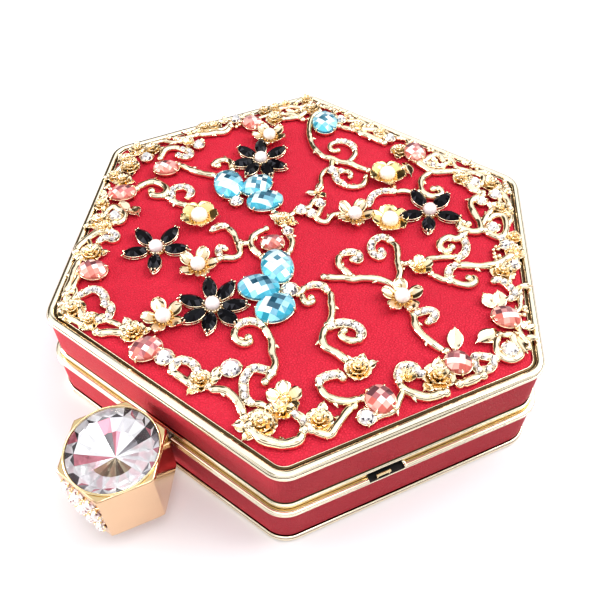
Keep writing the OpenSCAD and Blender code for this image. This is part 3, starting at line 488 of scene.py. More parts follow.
# ------------------------------------------------------------------ cast ornament
LAY_V = [
 ("g",1.7,[[-30,54],[-30,49.5],[-27,43.5],[-24,40],[-20.5,37],[-15.5,35],[-12.5,35.5],[-9.5,36],[-6.5,37],[-3,37],[0,37.5]]),
 ("g",1.6,[[-7.5,37],[-7.3,39.5],[-7.8,42],[-9.3,44]]),
 ("p",1.9,[[-9,43.5],[-11,45],[-14,45],[-16,43.5]]),
 ("g",1.5,[[-15.7,44],[-16.6,42],[-16.3,40],[-14.3,39],[-13.2,40.2]]),
 ("g",1.6,[[1,34.5],[2,32.5],[2,30],[0,28],[-2.7,27.5]]),
 ("p",1.9,[[-2.2,27.5],[-5.5,28],[-7.5,30.5],[-6.5,32.5]]),
 ("g",1.5,[[-6.8,32.2],[-5.2,33.4],[-3.6,33],[-3,31.7]]),
 ("g",1.5,[[-12.5,35.5],[-10.5,32],[-11,29.5],[-10.5,26.5],[-8.5,23.5],[-8,21]]),
 ("g",1.6,[[-7,11],[-5.5,13],[-6,16.5],[-3.5,17],[-2,14],[-1,10.5],[2,11],[2,14],[3.5,16],[5.5,17]]),
 ("p",1.9,[[8.5,24],[7.5,27],[7.5,29.5],[9,32],[11.5,33.5]]),
 ("g",1.5,[[11.5,33.5],[13.5,35.5],[16,36.5],[17.5,38]]),
 ("g",1.6,[[9,37],[11.5,34]]),
 ("g",1.8,[[16.5,48.5],[15.5,45],[16,42],[18,39],[20,38],[22,38.5],[23.5,40.5],[23,42],[21.5,42.5],[20.5,41.5]]),
 ("g",1.9,[[9.5,50],[13,49],[16.5,48.5],[19.5,50.5],[22.5,53]]),
 ("g",1.8,[[23,53],[26,51.5],[28.5,49.5],[31.5,48.5],[33.5,48.5]]),
 ("g",1.9,[[34,47.5],[32.5,44],[33,41.5],[35.5,39],[38,37],[39.5,35],[40,33.5],[38.5,32],[36,31.5],[34.5,31.5],[34,33.5],[36,34]]),
 ("g",1.7,[[39.5,35.5],[39,39],[39,42.5],[39.5,45.5]]),
 ("g",1.8,[[40,39],[40.5,41.5],[42.5,43],[44.5,41],[46,37.5],[46,34.5],[43,34],[41,34.5]]),
 ("p",2.0,[[46,34.5],[47.5,33.5],[50,33.5]]),
 ("g",1.9,[[37,29.5],[36,26.5],[34,26],[33,23.5],[33.5,21.5],[35.5,20.5],[36.5,21.5],[36.5,23]]),
 ("p",1.9,[[36.5,28.5],[38.5,27],[40,25],[40.5,22.5],[40,20]]),
 ("g",1.5,[[32.5,14],[33.5,15.5],[35,17],[36.5,18.5],[39,20.5]]),
 ("g",1.7,[[36.5,11],[40,11],[41.5,12],[43.5,12],[45.5,12.5],[47,13.5],[47.5,15.5],[46.5,16.5],[45.5,15.5]]),
 ("p",1.9,[[40.5,17.5],[40,15],[41,12.5],[42,11.5]]),
 ("g",1.9,[[40.5,17.5],[42,18.5],[43.5,19.5],[46,21],[48,23],[49.5,25],[51,28.5],[52,31]]),
 ("p",1.9,[[51.5,18.5],[52.5,19.5],[54.5,19.5],[56.5,18.5],[58,17.5],[58,16],[57.5,15]]),
 ("g",1.7,[[60.5,3],[61,0],[62.5,-2.5],[64.5,-3],[66,-2.5],[67,-1],[67,1],[64.5,3],[63,4.5],[61.5,3.5],[60.5,3]]),
 ("p",1.8,[[63,-4.5],[61.5,-5],[59.5,-6],[58.5,-7],[59.5,-9],[61,-10],[63,-8],[63,-5.5]]),
 ("g",2.0,[[59,-16],[60.5,-14],[62.5,-10.5]]),
 ("p",1.9,[[40,-4],[40.5,-3],[41.5,-1.5],[42.5,-0.5],[44,-0.5],[44.5,-2.5],[44,-4]]),
 ("g",1.8,[[38,-3],[40,-4.5],[41.5,-6.5],[43.5,-8],[46.5,-9],[49.5,-9.5],[52,-9.5]]),
 ("p",2.0,[[50.5,-18.5],[50,-19.5],[48.5,-18.5],[47,-18.5],[45.5,-20],[46,-22.5],[47,-24]]),
 ("g",2.0,[[47,-24],[48.5,-25],[50.5,-25],[53,-24.5],[55,-23.5],[56.5,-21.5],[57.5,-20]]),
 ("g",1.7,[[49,-25.5],[49.5,-28],[50,-30.5],[49.5,-32.5],[48.5,-34],[47.5,-36]]),
 ("g",1.8,[[30.5,3],[29.5,6.5],[27,9.5],[25.5,12],[23.5,14.5],[21,15]]),
 ("p",1.9,[[21.5,15.5],[18.5,15],[17.5,12.5],[18,10],[20,8],[22,8],[22,9.5],[21,10.5]]),
 ("g",1.8,[[31,1.5],[28,1.5],[25,0.5],[22,-1.5],[20.5,-3],[18,-4],[16,-5.5],[13.5,-7]]),
 ("g",1.8,[[20,-2.5],[17.5,-2],[14.5,-1],[13,1],[13,3]]),
 ("p",1.9,[[13,3],[14.5,5],[16.5,5.5],[17.5,4.5],[18,3.5],[16.5,3]]),
 ("g",1.6,[[28,9.5],[30.5,11]]),
 ("g",1.8,[[10,-16],[11.5,-16],[11.5,-13.5],[12,-12.5]]),
 ("p",1.9,[[12,-12.5],[13,-11],[15,-10],[17,-10.5]]),
 ("g",1.9,[[17,-10.5],[18.5,-11],[20,-13],[22,-15.5],[23.5,-18.5],[24,-20.5]]),
 ("g",1.7,[[11.5,-15],[14,-17],[15.5,-17],[16,-15.5],[15,-15]]),
 ("g",1.9,[[23.5,-20],[24,-22.5],[25,-24.5],[27,-26],[28.5,-26],[31,-26],[34.5,-26.5]]),
 ("p",2.1,[[24.5,-20],[25.5,-18],[27.5,-16.5],[30,-16],[32,-17],[32.5,-19]]),
 ("g",1.8,[[32.5,-19],[31.5,-20.5],[29.5,-21],[28,-20.5],[28,-19]]),
 ("p",2.0,[[35.5,-31],[34,-31],[32.5,-32.5],[31.5,-34.5],[32,-36]]),
 ("g",1.9,[[32,-36],[33.5,-37],[35.5,-37.5],[38,-37],[40.5,-35.5],[42.5,-33]]),
 ("g",1.8,[[42,-36],[41.5,-38],[41.5,-40.5],[41.5,-43],[41.5,-45.5],[39.5,-46.5],[37.5,-47]]),
 ("p",1.9,[[37.5,-47],[36,-47],[34,-46],[31.5,-46]]),
 ("g",2.2,[[36,-48],[36.5,-50],[36.5,-51],[35.5,-52.5],[34,-54],[31.5,-55],[29.5,-55.5],[27,-55],[25,-54.5]]),
 ("p",1.9,[[10,-30],[8.5,-30],[7,-30.5],[5.5,-32],[5,-34]]),
 ("g",1.8,[[5,-34],[6,-36.5],[8,-37.5],[10,-37],[10.5,-35.5],[9.5,-35]]),
 ("g",1.9,[[10,-30],[12.5,-31],[15,-32.5],[17,-35],[19.5,-37],[20.5,-39],[21,-42],[21,-43]]),
 ("p",2.0,[[21,-40],[18.5,-40.5],[16.5,-41.5],[16,-43],[16.5,-45.5],[18,-47.5],[20,-49.5],[22,-49.5]]),
 ("g",1.9,[[22,-49.5],[24,-48.5],[26,-48]]),
 ("g",1.9,[[10.5,-52],[12,-52],[13.5,-51],[15.5,-50.5],[18.5,-51],[20.5,-52],[23,-53.5]]),
 ("p",2.0,[[0.5,-54],[0,-52.5],[0,-50.5],[2,-49.5],[4,-49.5],[6,-50.5]]),
 ("g",1.9,[[0.5,-54],[3,-54],[5.5,-54],[8,-54]]),
 ("g",1.9,[[-23.5,-56.5],[-22,-56],[-20.5,-54.5],[-19,-53.5],[-17,-52.5]]),
 ("g",1.6,[[-24.5,-52.5],[-23,-52],[-21,-51.5],[-19,-51.5]]),
 ("p",2.0,[[-36,-51],[-35.5,-49],[-34.5,-47],[-32,-46.5],[-29.5,-47.5],[-28.5,-49]]),
 ("p",2.0,[[-28.5,-49],[-26.5,-48.5],[-25,-50],[-24.5,-52],[-26,-54]]),
 ("g",1.8,[[-33.5,-53.5],[-31,-55],[-28.5,-55.5]]),
 ("g",1.8,[[-39.5,-52.5],[-42,-48.5],[-44.5,-44.5],[-46,-41]]),
 ("g",1.6,[[-39,-51],[-40.5,-48],[-42,-44.5]]),
 ("g",1.8,[[-49,-40],[-50,-37.5],[-50,-33.5],[-49,-30],[-46.5,-28.5]]),
 ("p",1.9,[[-46.5,-28.5],[-44,-29],[-43.5,-30.5],[-46,-31.5],[-46.5,-33.5]]),
 ("g",1.7,[[-52.5,-25.5],[-54,-23],[-53.5,-20.5],[-50.5,-20.5],[-48,-21.5],[-47,-24],[-48.5,-25.5]]),
 ("g",1.8,[[-57.5,4],[-59,8],[-57.5,10.5],[-55,11.5]]),
 ("p",1.9,[[-55,11.5],[-52,12],[-50.5,10.5],[-51.5,9],[-54,8.5]]),
 ("g",1.8,[[-50.5,5],[-47.5,5.5],[-43,6],[-39.5,7],[-37,8]]),
 ("g",2.0,[[-53.5,-11],[-53,-7.5],[-51.5,-5.5],[-49,-5],[-46,-5.5],[-44.5,-7.5],[-46,-9.5],[-48,-10],[-49,-9]]),
 ("g",1.8,[[-44.5,-8.5],[-42,-8],[-39.5,-8.5],[-37,-8],[-35,-7]]),
 ("p",2.0,[[-41,-8.5],[-43,-6.5],[-44,-4.5],[-43,-2.5],[-41,-1.5],[-38.5,-2.5],[-38,-4.5]]),
 ("g",1.8,[[-35,13],[-37.5,15.5],[-40,15.5],[-41.5,13.5],[-41.5,11.5],[-40,12]]),
 ("p",1.9,[[-23,-11],[-22,-8.5],[-20.5,-7.5]]),
 ("g",1.8,[[-20.5,-7.5],[-17,-8.5],[-14,-10.5],[-12,-12],[-10.5,-14],[-11,-16],[-12.5,-17],[-14,-18.5]]),
 ("p",1.7,[[-14,-18],[-16,-16.5],[-16.5,-15],[-15,-14.5]]),
 ("g",1.8,[[-13,-10.5],[-11.5,-9.5],[-11,-8.5]]),
 ("g",1.8,[[-10.5,-1.5],[-11.5,-4],[-11.5,-7],[-9.5,-9.5],[-7,-10.5],[-4.5,-11]]),
 ("g",1.8,[[-7,2.5],[-4,0.5],[-1.5,-1],[0,-3.5],[0.5,-6]]),
 ("g",1.6,[[-13,5.5],[-10.5,5],[-8.5,4]]),
 ("g",1.6,[[-8,5.5],[-8,7.5],[-7.5,10]]),
 ("g",1.6,[[-39.5,45.5],[-36.5,47],[-32,47]]),
 ("g",1.6,[[-37.5,43.5],[-36,45],[-34,48],[-33.5,52.5]]),
 ("g",1.8,[[-56,20],[-53.5,22],[-51.5,24.5],[-49,26.5],[-49.5,30]]),
 ("g",1.8,[[-14.5,53],[-12,52],[-9,52],[-6,52],[-3,52]]),
 ("g",1.7,[[-14.5,53.5],[-12,54.5],[-9.5,56],[-6.5,56],[-4.5,55]]),
 ("g",1.7,[[12,50.5],[12.5,54],[13.5,56.5],[15.5,56],[18,54]]),
 ("p",1.8,[[12,51],[14,51],[16,51.5],[18,52.5]]),
 ("g",1.7,[[25,53],[26.5,55],[28.5,55.5],[30.5,55],[31.5,52],[31,50]]),
 ("g",1.6,[[27,50],[30,48],[32.5,48]]),
 ("g",1.7,[[36,53],[38.5,51.5],[41,49.5],[43,47]]),
 ("g",1.6,[[-20,51],[-17.5,51.5],[-15,52]]),
 ("g",1.6,[[-60.5,14.5],[-58,16.5],[-56,19.5]]),
 ("g",1.6,[[-38,-55.5],[-33.5,-57],[-29.5,-57],[-26,-56.5]]),
]
AQ = [[-30.9,6.4,12.4,8.9,-41],[-23.5,11,10.4,7.8,76],[-17.4,7.0,11,8.3,50],[1.4,-11.9,12.2,8.9,-42],[1.9,-20.9,11.4,8.6,29],[9.7,-23.9,11,9,68],[-24.2,48.8,11.2,8.2,127]]
RS = [[-44,34.9,7.3,6,-3],[-52.1,1.1,8,6,39],[-55.1,-15.3,8.3,6,45],[-39.3,-42.5,8.2,6.6,17],[-5.2,-5.4,6.6,5.4,39],[-8.9,-53.2,8.4,6.8,64],
      [46.2,-31.3,7.8,7,-37],[56.1,-11.2,6.8,6.4,-10],[59.5,8.5,7.4,6.4,7],[7.6,52.8,8.4,6.4,127]]
CR = [[-24.6,2.2,3.8],[-6.5,10.5,3.6],[8.9,-16.3,4.6],[-3.6,-52.2,4.6],[12,-45,5.0],[46,-37,4.2],[64.6,0,4.2],[-51.5,16,3.6],[-21,53.6,3.4],[-2.5,54.6,3.4],
      [29.5,51,3.4],[37,49.5,3.6],[42.5,36.5,3.6],[-50,-23.5,3.6],[-61,1.5,3.8],[-9,30.5,3],[-3.5,16,3],[-3,11,3],[-4.5,1,3],[53.5,26.5,3],[-50,33.5,3.4],[35,44.5,3],[48.5,32,3.2]]
FP = [[-35.5,33,10],[-17,-24,40],[-12.5,-43,5],[7.5,18,30],[34.5,-1,55]]
CU = [[-29.5,-9,30],[6,38.8,19],[17,22,60]]
BF = [[-30.5,22,[6,69,128,180,235,278,328]],[-31,-26,[31,91,170,233,309]],[-4.5,-32.5,[36,92,138,202,254,302,353]],[24.5,32,[12,82,153,233,296]]]
RO = [[27,-52.5,4.2],[8,-52,3.4],[-16,-51,3.6],[-34,-55.3,4],[-27.5,-55.2,3.2],[-45,-38,3.6],[-52.5,-27.5,3.4],[-60,-10.5,3],[-62.5,-4.5,3.2],[-66,-3,2.8],
      [-66.5,3,3],[-63,6,3],[-56,24,3.2],[-54,26.5,2.8],[-40,41.5,3],[-33,53.6,3.2],[-8.5,4.5,3.2],[-14.5,54,3],[3,51.5,3.2],[25.5,51,3.2],[34,53.6,3.2],[52,23,3.6],
      [54,-17,4.2],[37,-26.5,3.6],[37.5,-44,3.6],[40.5,45,3],[51.5,31.5,3],[-63,-10.5,2.8],[-6.5,55.6,2.6],[-49.5,-29,2.8]]
GC = [[27.5,-44,4.5],[29,-47,3.0],[33,11.5,3.6],[48,-21.5,2.2]]
L3 = [[-36.5,49.5,3.2],[-7.5,20.5,3.4]]
LF = [[[53.5,-7.5],[50.5,-2],4.2],[[55.5,10.5],[51.5,12.5],4.4],[[57,11.5],[54,15.5],4],[[59.5,4],[57,-2.5],4.6],[[63.5,5],[68,2],4.6],[[37,-26],[36,-22.5],2.6],
      [[10.5,-50],[9.5,-46.5],3],[[25,-55],[22.5,-56.5],3.4],[[53.5,-17],[51.5,-12.5],3.2],[[-49.5,-17.5],[-45,-19],4],[[-49,-19],[-53,-18.5],3.4],[[7,47.5],[12,43],3.6],[[18,55],[20,56.3],3.4]]


def smooth(p, n):
    out = []
    m = len(p)
    for i in range(m - 1):
        a, b_, c, d = p[max(i - 1, 0)], p[i], p[i + 1], p[min(i + 2, m - 1)]
        for j in range(n):
            t = j / n
            out.append(tuple(0.5 * (2 * b_[k] + (c[k] - a[k]) * t + (2 * a[k] - 5 * b_[k] + 4 * c[k] - d[k]) * t * t + (3 * b_[k] - a[k] - 3 * c[k] + d[k]) * t ** 3) for k in (0, 1)))
    out.append(tuple(p[-1]))
    return out


def even(q, step):
    L = [0]
    for a, c in zip(q, q[1:]):
        L.append(L[-1] + math.hypot(c[0] - a[0], c[1] - a[1]))
    n = max(2, round(L[-1] / step))
    out = []
    k = 0
    for i in range(n + 1):
        s = L[-1] * i / n
        while k < len(L) - 2 and L[k + 1] < s:
            k += 1
        u = (s - L[k]) / max(1e-9, L[k + 1] - L[k])
        out.append((q[k][0] + (q[k + 1][0] - q[k][0]) * u, q[k][1] + (q[k + 1][1] - q[k][1]) * u))
    return out, L[-1]


def tangents(q):
    out = []
    for i in range(len(q)):
        a, c = q[max(i - 1, 0)], q[min(i + 1, len(q) - 1)]
        d = math.hypot(c[0] - a[0], c[1] - a[1]) or 1
        out.append(((c[0] - a[0]) / d, (c[1] - a[1]) / d))
    return out


def tube3(b, pts, radii, m=10, mat_i=0, col=W, caps=True):
    """Round tube through 3-D points."""
    P = [Vector(p) for p in pts]
    n = len(P)
    verts, faces = [], []
    up = Vector((0, 0, 1))
    prev = None
    for i in range(n):
        t = (P[min(i + 1, n - 1)] - P[max(i - 1, 0)])
        t = t.normalized() if t.length > 1e-9 else Vector((1, 0, 0))
        if prev is None:
            s = t.cross(up)
            if s.length < 0.1:
                s = t.cross(Vector((1, 0, 0)))
        else:
            s = prev - t * prev.dot(t)
        s.normalize()
        prev = s
        w = s.cross(t)
        for j in range(m):
            a = 2 * math.pi * j / m
            v = P[i] + (s * math.cos(a) + w * math.sin(a)) * radii[i]
            verts.append(tuple(v))
    for i in range(n - 1):
        for j in range(m):
            faces.append((i * m + j, i * m + (j + 1) % m, (i + 1) * m + (j + 1) % m, (i + 1) * m + j))
    if caps:
        verts.append(tuple(P[0]))
        verts.append(tuple(P[-1]))
        for j in range(m):
            faces.append((len(verts) - 2, (j + 1) % m, j))
            faces.append((len(verts) - 1, (n - 1) * m + j, (n - 1) * m + (j + 1) % m))
    b.add(verts, faces, mat_i, True, [col] * len(faces))


def ball(b, c, r, mat_i=0, m=12, k=7, z_lo=-1.0, sz=1.0, col=W):
    verts, faces = [], []
    t0 = math.asin(max(-1, z_lo))
    for i in range(k + 1):
        t = t0 + (math.pi / 2 - t0) * i / k
        if i == k:
            verts.append((c[0], c[1], c[2] + r * sz))
            break
        for j in range(m):
            a = 2 * math.pi * j / m
            verts.append((c[0] + r * math.cos(t) * math.cos(a), c[1] + r * math.cos(t) * math.sin(a), c[2] + r * sz * math.sin(t)))
    for i in range(k - 1):
        for j in range(m):
            faces.append((i * m + j, i * m + (j + 1) % m, (i + 1) * m + (j + 1) % m, (i + 1) * m + j))
    for j in range(m):
        faces.append(((k - 1) * m + j, (k - 1) * m + (j + 1) % m, k * m))
    faces.append(tuple(reversed(range(m))))
    b.add(verts, faces, mat_i, True, [col] * len(faces))


def wire(b, pts, w, seed):
    """Cast stem: round on top, flat underneath, slightly knuckled."""
    r_ = random.Random(seed)
    q, L = even(smooth(pts, 8), 0.42)
    T = tangents(q)
    n = len(q)
    ph = r_.uniform(0, 6)
    m = 12
    verts, faces = [], []
    for i in range(n):
        s = i / (n - 1) * L
        e = min(s, L - s)
        k = min(1.0, 0.62 + 0.38 * min(1, e / 1.6)) * (1 + 0.06 * math.sin(s * 0.9 + ph) + 0.02 * math.sin(s * 2.3 + ph))
        r = w / 2 * k * 1.26
        zc = PZ + 0.72 + 0.1 * math.sin(s * 0.5 + ph)
        for j in range(m):
            a = 2 * math.pi * j / m
            dx = r * math.cos(a)
            dz = r * math.sin(a) * (1.08 if math.sin(a) > 0 else 0.62)
            verts.append((q[i][0] - T[i][1] * dx, q[i][1] + T[i][0] * dx, zc + dz))
    for i in range(n - 1):
        for j in range(m):
            faces.append((i * m + j, (i + 1) * m + j, (i + 1) * m + (j + 1) % m, i * m + (j + 1) % m))
    faces.append(tuple(range(m)))
    faces.append(tuple(reversed(range((n - 1) * m, n * m))))
    b.add(verts, faces, 0, True)
    for end, i in ((0, 0), (1, n - 1)):
        ball(b, (q[i][0], q[i][1], PZ + 0.78), w * 0.66, 0, 12, 7, -0.75)
    # thorns
    s = r_.uniform(4, 7)
    while s < L - 3.5:
        i = int(s / L * (n - 1))
        sgn = r_.choice((-1, 1))
        px, py = q[i]
        tx, ty = T[i]
        nx, ny = -ty * sgn, tx * sgn
        ln = r_.uniform(0.9, 1.5)
        base = (px + nx * w * 0.2, py + ny * w * 0.2, PZ + 0.8)
        mid = (px + nx * w * 0.62 + tx * ln * 0.3, py + ny * w * 0.62 + ty * ln * 0.3, PZ + 0.95)
        tip = (px + nx * (w * 0.66 + ln * 0.5) + tx * ln * 0.9, py + ny * (w * 0.66 + ln * 0.5) + ty * ln * 0.9, PZ + 1.15)
        tube3(b, [base, mid, tip], [w * 0.4, w * 0.3, 0.12], 8)
        s += r_.uniform(6, 12)
    return q


# facet tones of the clear crystals, from white to near-black: painted reflections and highlights
CLEAR_FACET_LIGHT = [(0.98, 0.98, 1.0), (0.95, 0.94, 0.95), (0.80, 0.77, 0.78), (0.5, 0.46, 0.48), (0.99, 0.98, 0.98), (0.10, 0.09, 0.11), (0.90, 0.82, 0.80), (1.0, 1.0, 1.0), (0.97, 0.97, 0.98), (0.26, 0.23, 0.25)]


def pick(pal, r_):
    c = r_.choice(pal)
    k = r_.uniform(0.9, 1.05)
    return tuple(min(1, x * k) for x in c)


def round_gem(b, c, r, h, mat_i, pal, r_, m=8, table=0.52, axis=None):
    """Round chaton: girdle, star crown and table, flat facets."""
    V, F, C = [], [], []
    rings = [(1.0, 0.0, 0), (1.0, 0.16, 0), (0.78, 0.62, 0.5), (table, 1.0, 0)]
    for s, z, o in rings:
        for j in range(m):
            a = 2 * math.pi * (j + o) / m
            V.append((r * s * math.cos(a), r * s * math.sin(a), h * z))
    # each facet gets a tone from pal: painted reflections and highlights
    def f(*ix):
        F.append(ix)
        C.append(pick(pal, r_))
    for j in range(m):
        k = (j + 1) % m
        f(j, k, m + k, m + j)
        f(m + j, m + k, 2 * m + j)
        f(m + k, 2 * m + k, 2 * m + j)
        f(2 * m + j, 2 * m + k, 3 * m + k)
        f(2 * m + j, 3 * m + k, 3 * m + j)
    F.append(tuple(range(3 * m, 4 * m)))
    C.append(pick(pal[:2], r_))
    rot = r_.uniform(0, 1)
    ca, sa = math.cos(rot), math.sin(rot)
    P = []
    for x, y, z in V:
        x, y = x * ca - y * sa, x * sa + y * ca
        if axis == "front":
            P.append((c[0] + x, c[1] - z, c[2] + y))
        else:
            P.append((c[0] + x, c[1] + y, c[2] + z))
    # one vertex set per facet keeps the facets crisp
    for fc, cc in zip(F, C):
        b.add([P[i] for i in fc], [tuple(range(len(fc)))], mat_i, False, [cc])


def clip_ellipse(poly, l, w, m=26):
    """Clips a convex polygon by the ellipse's inscribed polygon."""
    for k in range(m):
        a0, a1 = 2 * math.pi * k / m, 2 * math.pi * (k + 1) / m
        p, q = (l * math.cos(a0), w * math.sin(a0)), (l * math.cos(a1), w * math.sin(a1))
        side = lambda v: (q[0] - p[0]) * (v[1] - p[1]) - (q[1] - p[1]) * (v[0] - p[0])
        out = []
        for i, c in enumerate(poly):
            d = poly[i - 1]
            sc, sd = side(c), side(d)
            if (sc >= 0) != (sd >= 0):
                t = sd / (sd - sc)
                out.append((d[0] + (c[0] - d[0]) * t, d[1] + (c[1] - d[1]) * t))
            if sc >= 0:
                out.append(c)
        poly = out
        if not poly:
            return []
    return poly


def oval_gem(b, p, z0, h, mat_i, shade, r_, cells=5):
    """Checkerboard-cut dome: square facets over the crown, a steep girdle under them."""
    x0, y0, l, w, ang = p
    ca, sa = math.cos(ang * D2R), math.sin(ang * D2R)
    hl, hw = l / 2, w / 2
    d = w * 0.96 / cells
    tw = r_.uniform(30, 60) * D2R
    ct, stt = math.cos(tw), math.sin(tw)

    def top(x, y):
        r2 = min(1.0, (x / hl) ** 2 + (y / hw) ** 2)
        return z0 + h * (0.34 + 0.66 * (1 - r2) ** 0.6)

    def world(x, y, z):
        return (x0 + x * ca - y * sa, y0 + x * sa + y * ca, z)
    n = int(l / d) + 2
    for i in range(-n, n):
        for j in range(-n, n):
            sq = [((i + a) * d * ct - (j + c) * d * stt, (i + a) * d * stt + (j + c) * d * ct) for a, c in ((0, 0), (1, 0), (1, 1), (0, 1))]
            sq = clip_ellipse(sq, hl, hw)
            if len(sq) < 3:
                continue
            cx, cy = sum(v[0] for v in sq) / len(sq), sum(v[1] for v in sq) / len(sq)
            rho = math.hypot(cx / hl, cy / hw)
            wx, wy = cx / hl * ca - cy / hw * sa, cx / hl * sa + cy / hw * ca
            # each crown facet's tint comes from shade(...): painted reflections, highlights and shade by its place on
            # the stone
            b.add([world(x, y, top(x, y)) for x, y in sq], [tuple(range(len(sq)))], mat_i, False, [shade(wx, wy, rho, (i + j) % 2, r_)])
    m = 26
    for k in range(m):
        a0, a1 = 2 * math.pi * k / m, 2 * math.pi * (k + 1) / m
        p0, p1 = (hl * math.cos(a0), hw * math.sin(a0)), (hl * math.cos(a1), hw * math.sin(a1))
        zt = z0 + h * 0.34
        wx, wy = p0[0] / hl * ca - p0[1] / hw * sa, p0[0] / hl * sa + p0[1] / hw * ca
        b.add([world(*p0, z0), world(*p1, z0), world(*p1, zt), world(*p0, zt)], [(0, 1, 2, 3)], mat_i, False, [shade(wx, wy, 1.0, 0, r_)])


def stone_facet_light(wx, wy, rho, par, r_, pal):
    """Tone of one facet, painted light placed by the facet's direction: a patch of painted dark reflection and a white
    painted highlight inside, a bright body and a deep coloured lower edge of painted shade.
    """
    dark, white, body, edge, rim = pal
    up, side = 0.8 * wy - 0.6 * wx, 0.8 * wx + 0.6 * wy
    t = r_.random()
    if rho > 0.84:
        return pick(edge if up < 0.3 else rim, r_)
    if math.hypot(side - 0.12, up - 0.18) < 0.44 and t < 0.78:
        return pick(dark, r_)
    if math.hypot(side + 0.25, up + 0.15) < 0.45 and t < 0.7:
        return pick(white, r_)
    if par and t < 0.25:
        return pick(dark[1:], r_)
    return pick(body if t < 0.75 else white, r_)


# aqua facet tones: dark painted reflections, white painted highlights, the aqua body, deep painted shade at the lower
# edge, and the upper rim
AQUA_PAL = ([(0.03, 0.11, 0.17), (0.08, 0.24, 0.33), (0.18, 0.42, 0.54)], [(0.92, 0.99, 1.0), (1.0, 1.0, 1.0), (0.80, 0.96, 1.0)],
            [(0.40, 0.70, 0.80), (0.54, 0.81, 0.89), (0.26, 0.55, 0.67), (0.72, 0.91, 0.96)], [(0.05, 0.40, 0.55), (0.12, 0.54, 0.69), (0.34, 0.74, 0.85)],
            [(0.12, 0.40, 0.52), (0.42, 0.76, 0.87), (0.06, 0.24, 0.33)])
# rose facet tones: dark painted reflections, white painted highlights, the rose body, deep red painted shade at the
# lower edge, and the upper rim
ROSE_PAL = ([(0.20, 0.08, 0.09), (0.36, 0.15, 0.16), (0.56, 0.26, 0.25)], [(1.0, 0.95, 0.93), (1.0, 0.99, 0.98), (0.98, 0.86, 0.82)],
            [(0.80, 0.36, 0.33), (0.88, 0.48, 0.44), (0.66, 0.22, 0.21), (0.44, 0.15, 0.16), (0.93, 0.66, 0.62)], [(0.62, 0.15, 0.12), (0.74, 0.27, 0.22), (0.86, 0.42, 0.36)],
            [(0.52, 0.2, 0.19), (0.85, 0.5, 0.45), (0.34, 0.12, 0.13)])


def aqua_facet_light(*a):
    return stone_facet_light(*a, AQUA_PAL)


def rose_facet_light(wx, wy, rho, par, r_):
    # dark tones at the top, white painted highlights across the middle, deep red painted shade at the lower edge
    dark, white, body, edge, rim = ROSE_PAL
    up = 0.8 * wy - 0.6 * wx
    t = r_.random()
    if rho > 0.84:
        return pick(edge if up < 0.3 else rim, r_)
    if up > 0.1 and t < 0.6:
        return pick(dark, r_)
    if abs(up) < 0.42 and t < 0.36:
        return pick(white, r_)
    if up < -0.25 and t < 0.75:
        return pick(edge, r_)
    return pick(body, r_)


def bezel(b, p, z0, z1, grow0=0.1, grow1=0.35, mat_i=0, m=28, lip=0.28):
    """Open cup under a stone: outer wall flares, inner wall hugs the stone."""
    x0, y0, l, w, ang = p
    ca, sa = math.cos(ang * D2R), math.sin(ang * D2R)
    prof = [(grow0 - 0.5, z0), (grow0, z0), (grow0 - 0.12, z0 + (z1 - z0) * 0.45), (grow1, z1 - 0.12), (grow1 - 0.08, z1), (grow1 - lip, z1 - 0.02), (grow1 - lip - 0.1, z1 - 0.4)]
    V = []
    for g, z in prof:
        for j in range(m):
            a = 2 * math.pi * j / m
            x, y = (l / 2 + g) * math.cos(a), (w / 2 + g) * math.sin(a)
            V.append((x0 + x * ca - y * sa, y0 + x * sa + y * ca, z))
    F = []
    for i in range(len(prof) - 1):
        for j in range(m):
            k = (j + 1) % m
            F.append((i * m + j, i * m + k, (i + 1) * m + k, (i + 1) * m + j))
    F.append(tuple(range((len(prof) - 1) * m, len(prof) * m)))
    F.append(tuple(reversed(range(m))))
    b.add(V, F, mat_i, True)


def claw(b, p, a, z0, z1, r=0.34, mat_i=0):
    """Prong from the cup over the edge of the stone at parameter angle a (degrees)."""
    x0, y0, l, w, ang = p
    ca, sa = math.cos(ang * D2R), math.sin(ang * D2R)
    def at(g, z):
        x, y = (l / 2 + g) * math.cos(a * D2R), (w / 2 + g) * math.sin(a * D2R)
        return (x0 + x * ca - y * sa, y0 + x * sa + y * ca, z)
    pts = [at(0.2, z0), at(0.38, z0 + (z1 - z0) * 0.5), at(0.25, z0 + (z1 - z0) * 0.85), at(-0.15, z1), at(-0.5, z1 + 0.06)]
    tube3(b, pts, [r, r, r, r * 0.95, r * 0.7], 8, mat_i)
    ball(b, pts[-1], r * 0.95, mat_i, 8, 5)


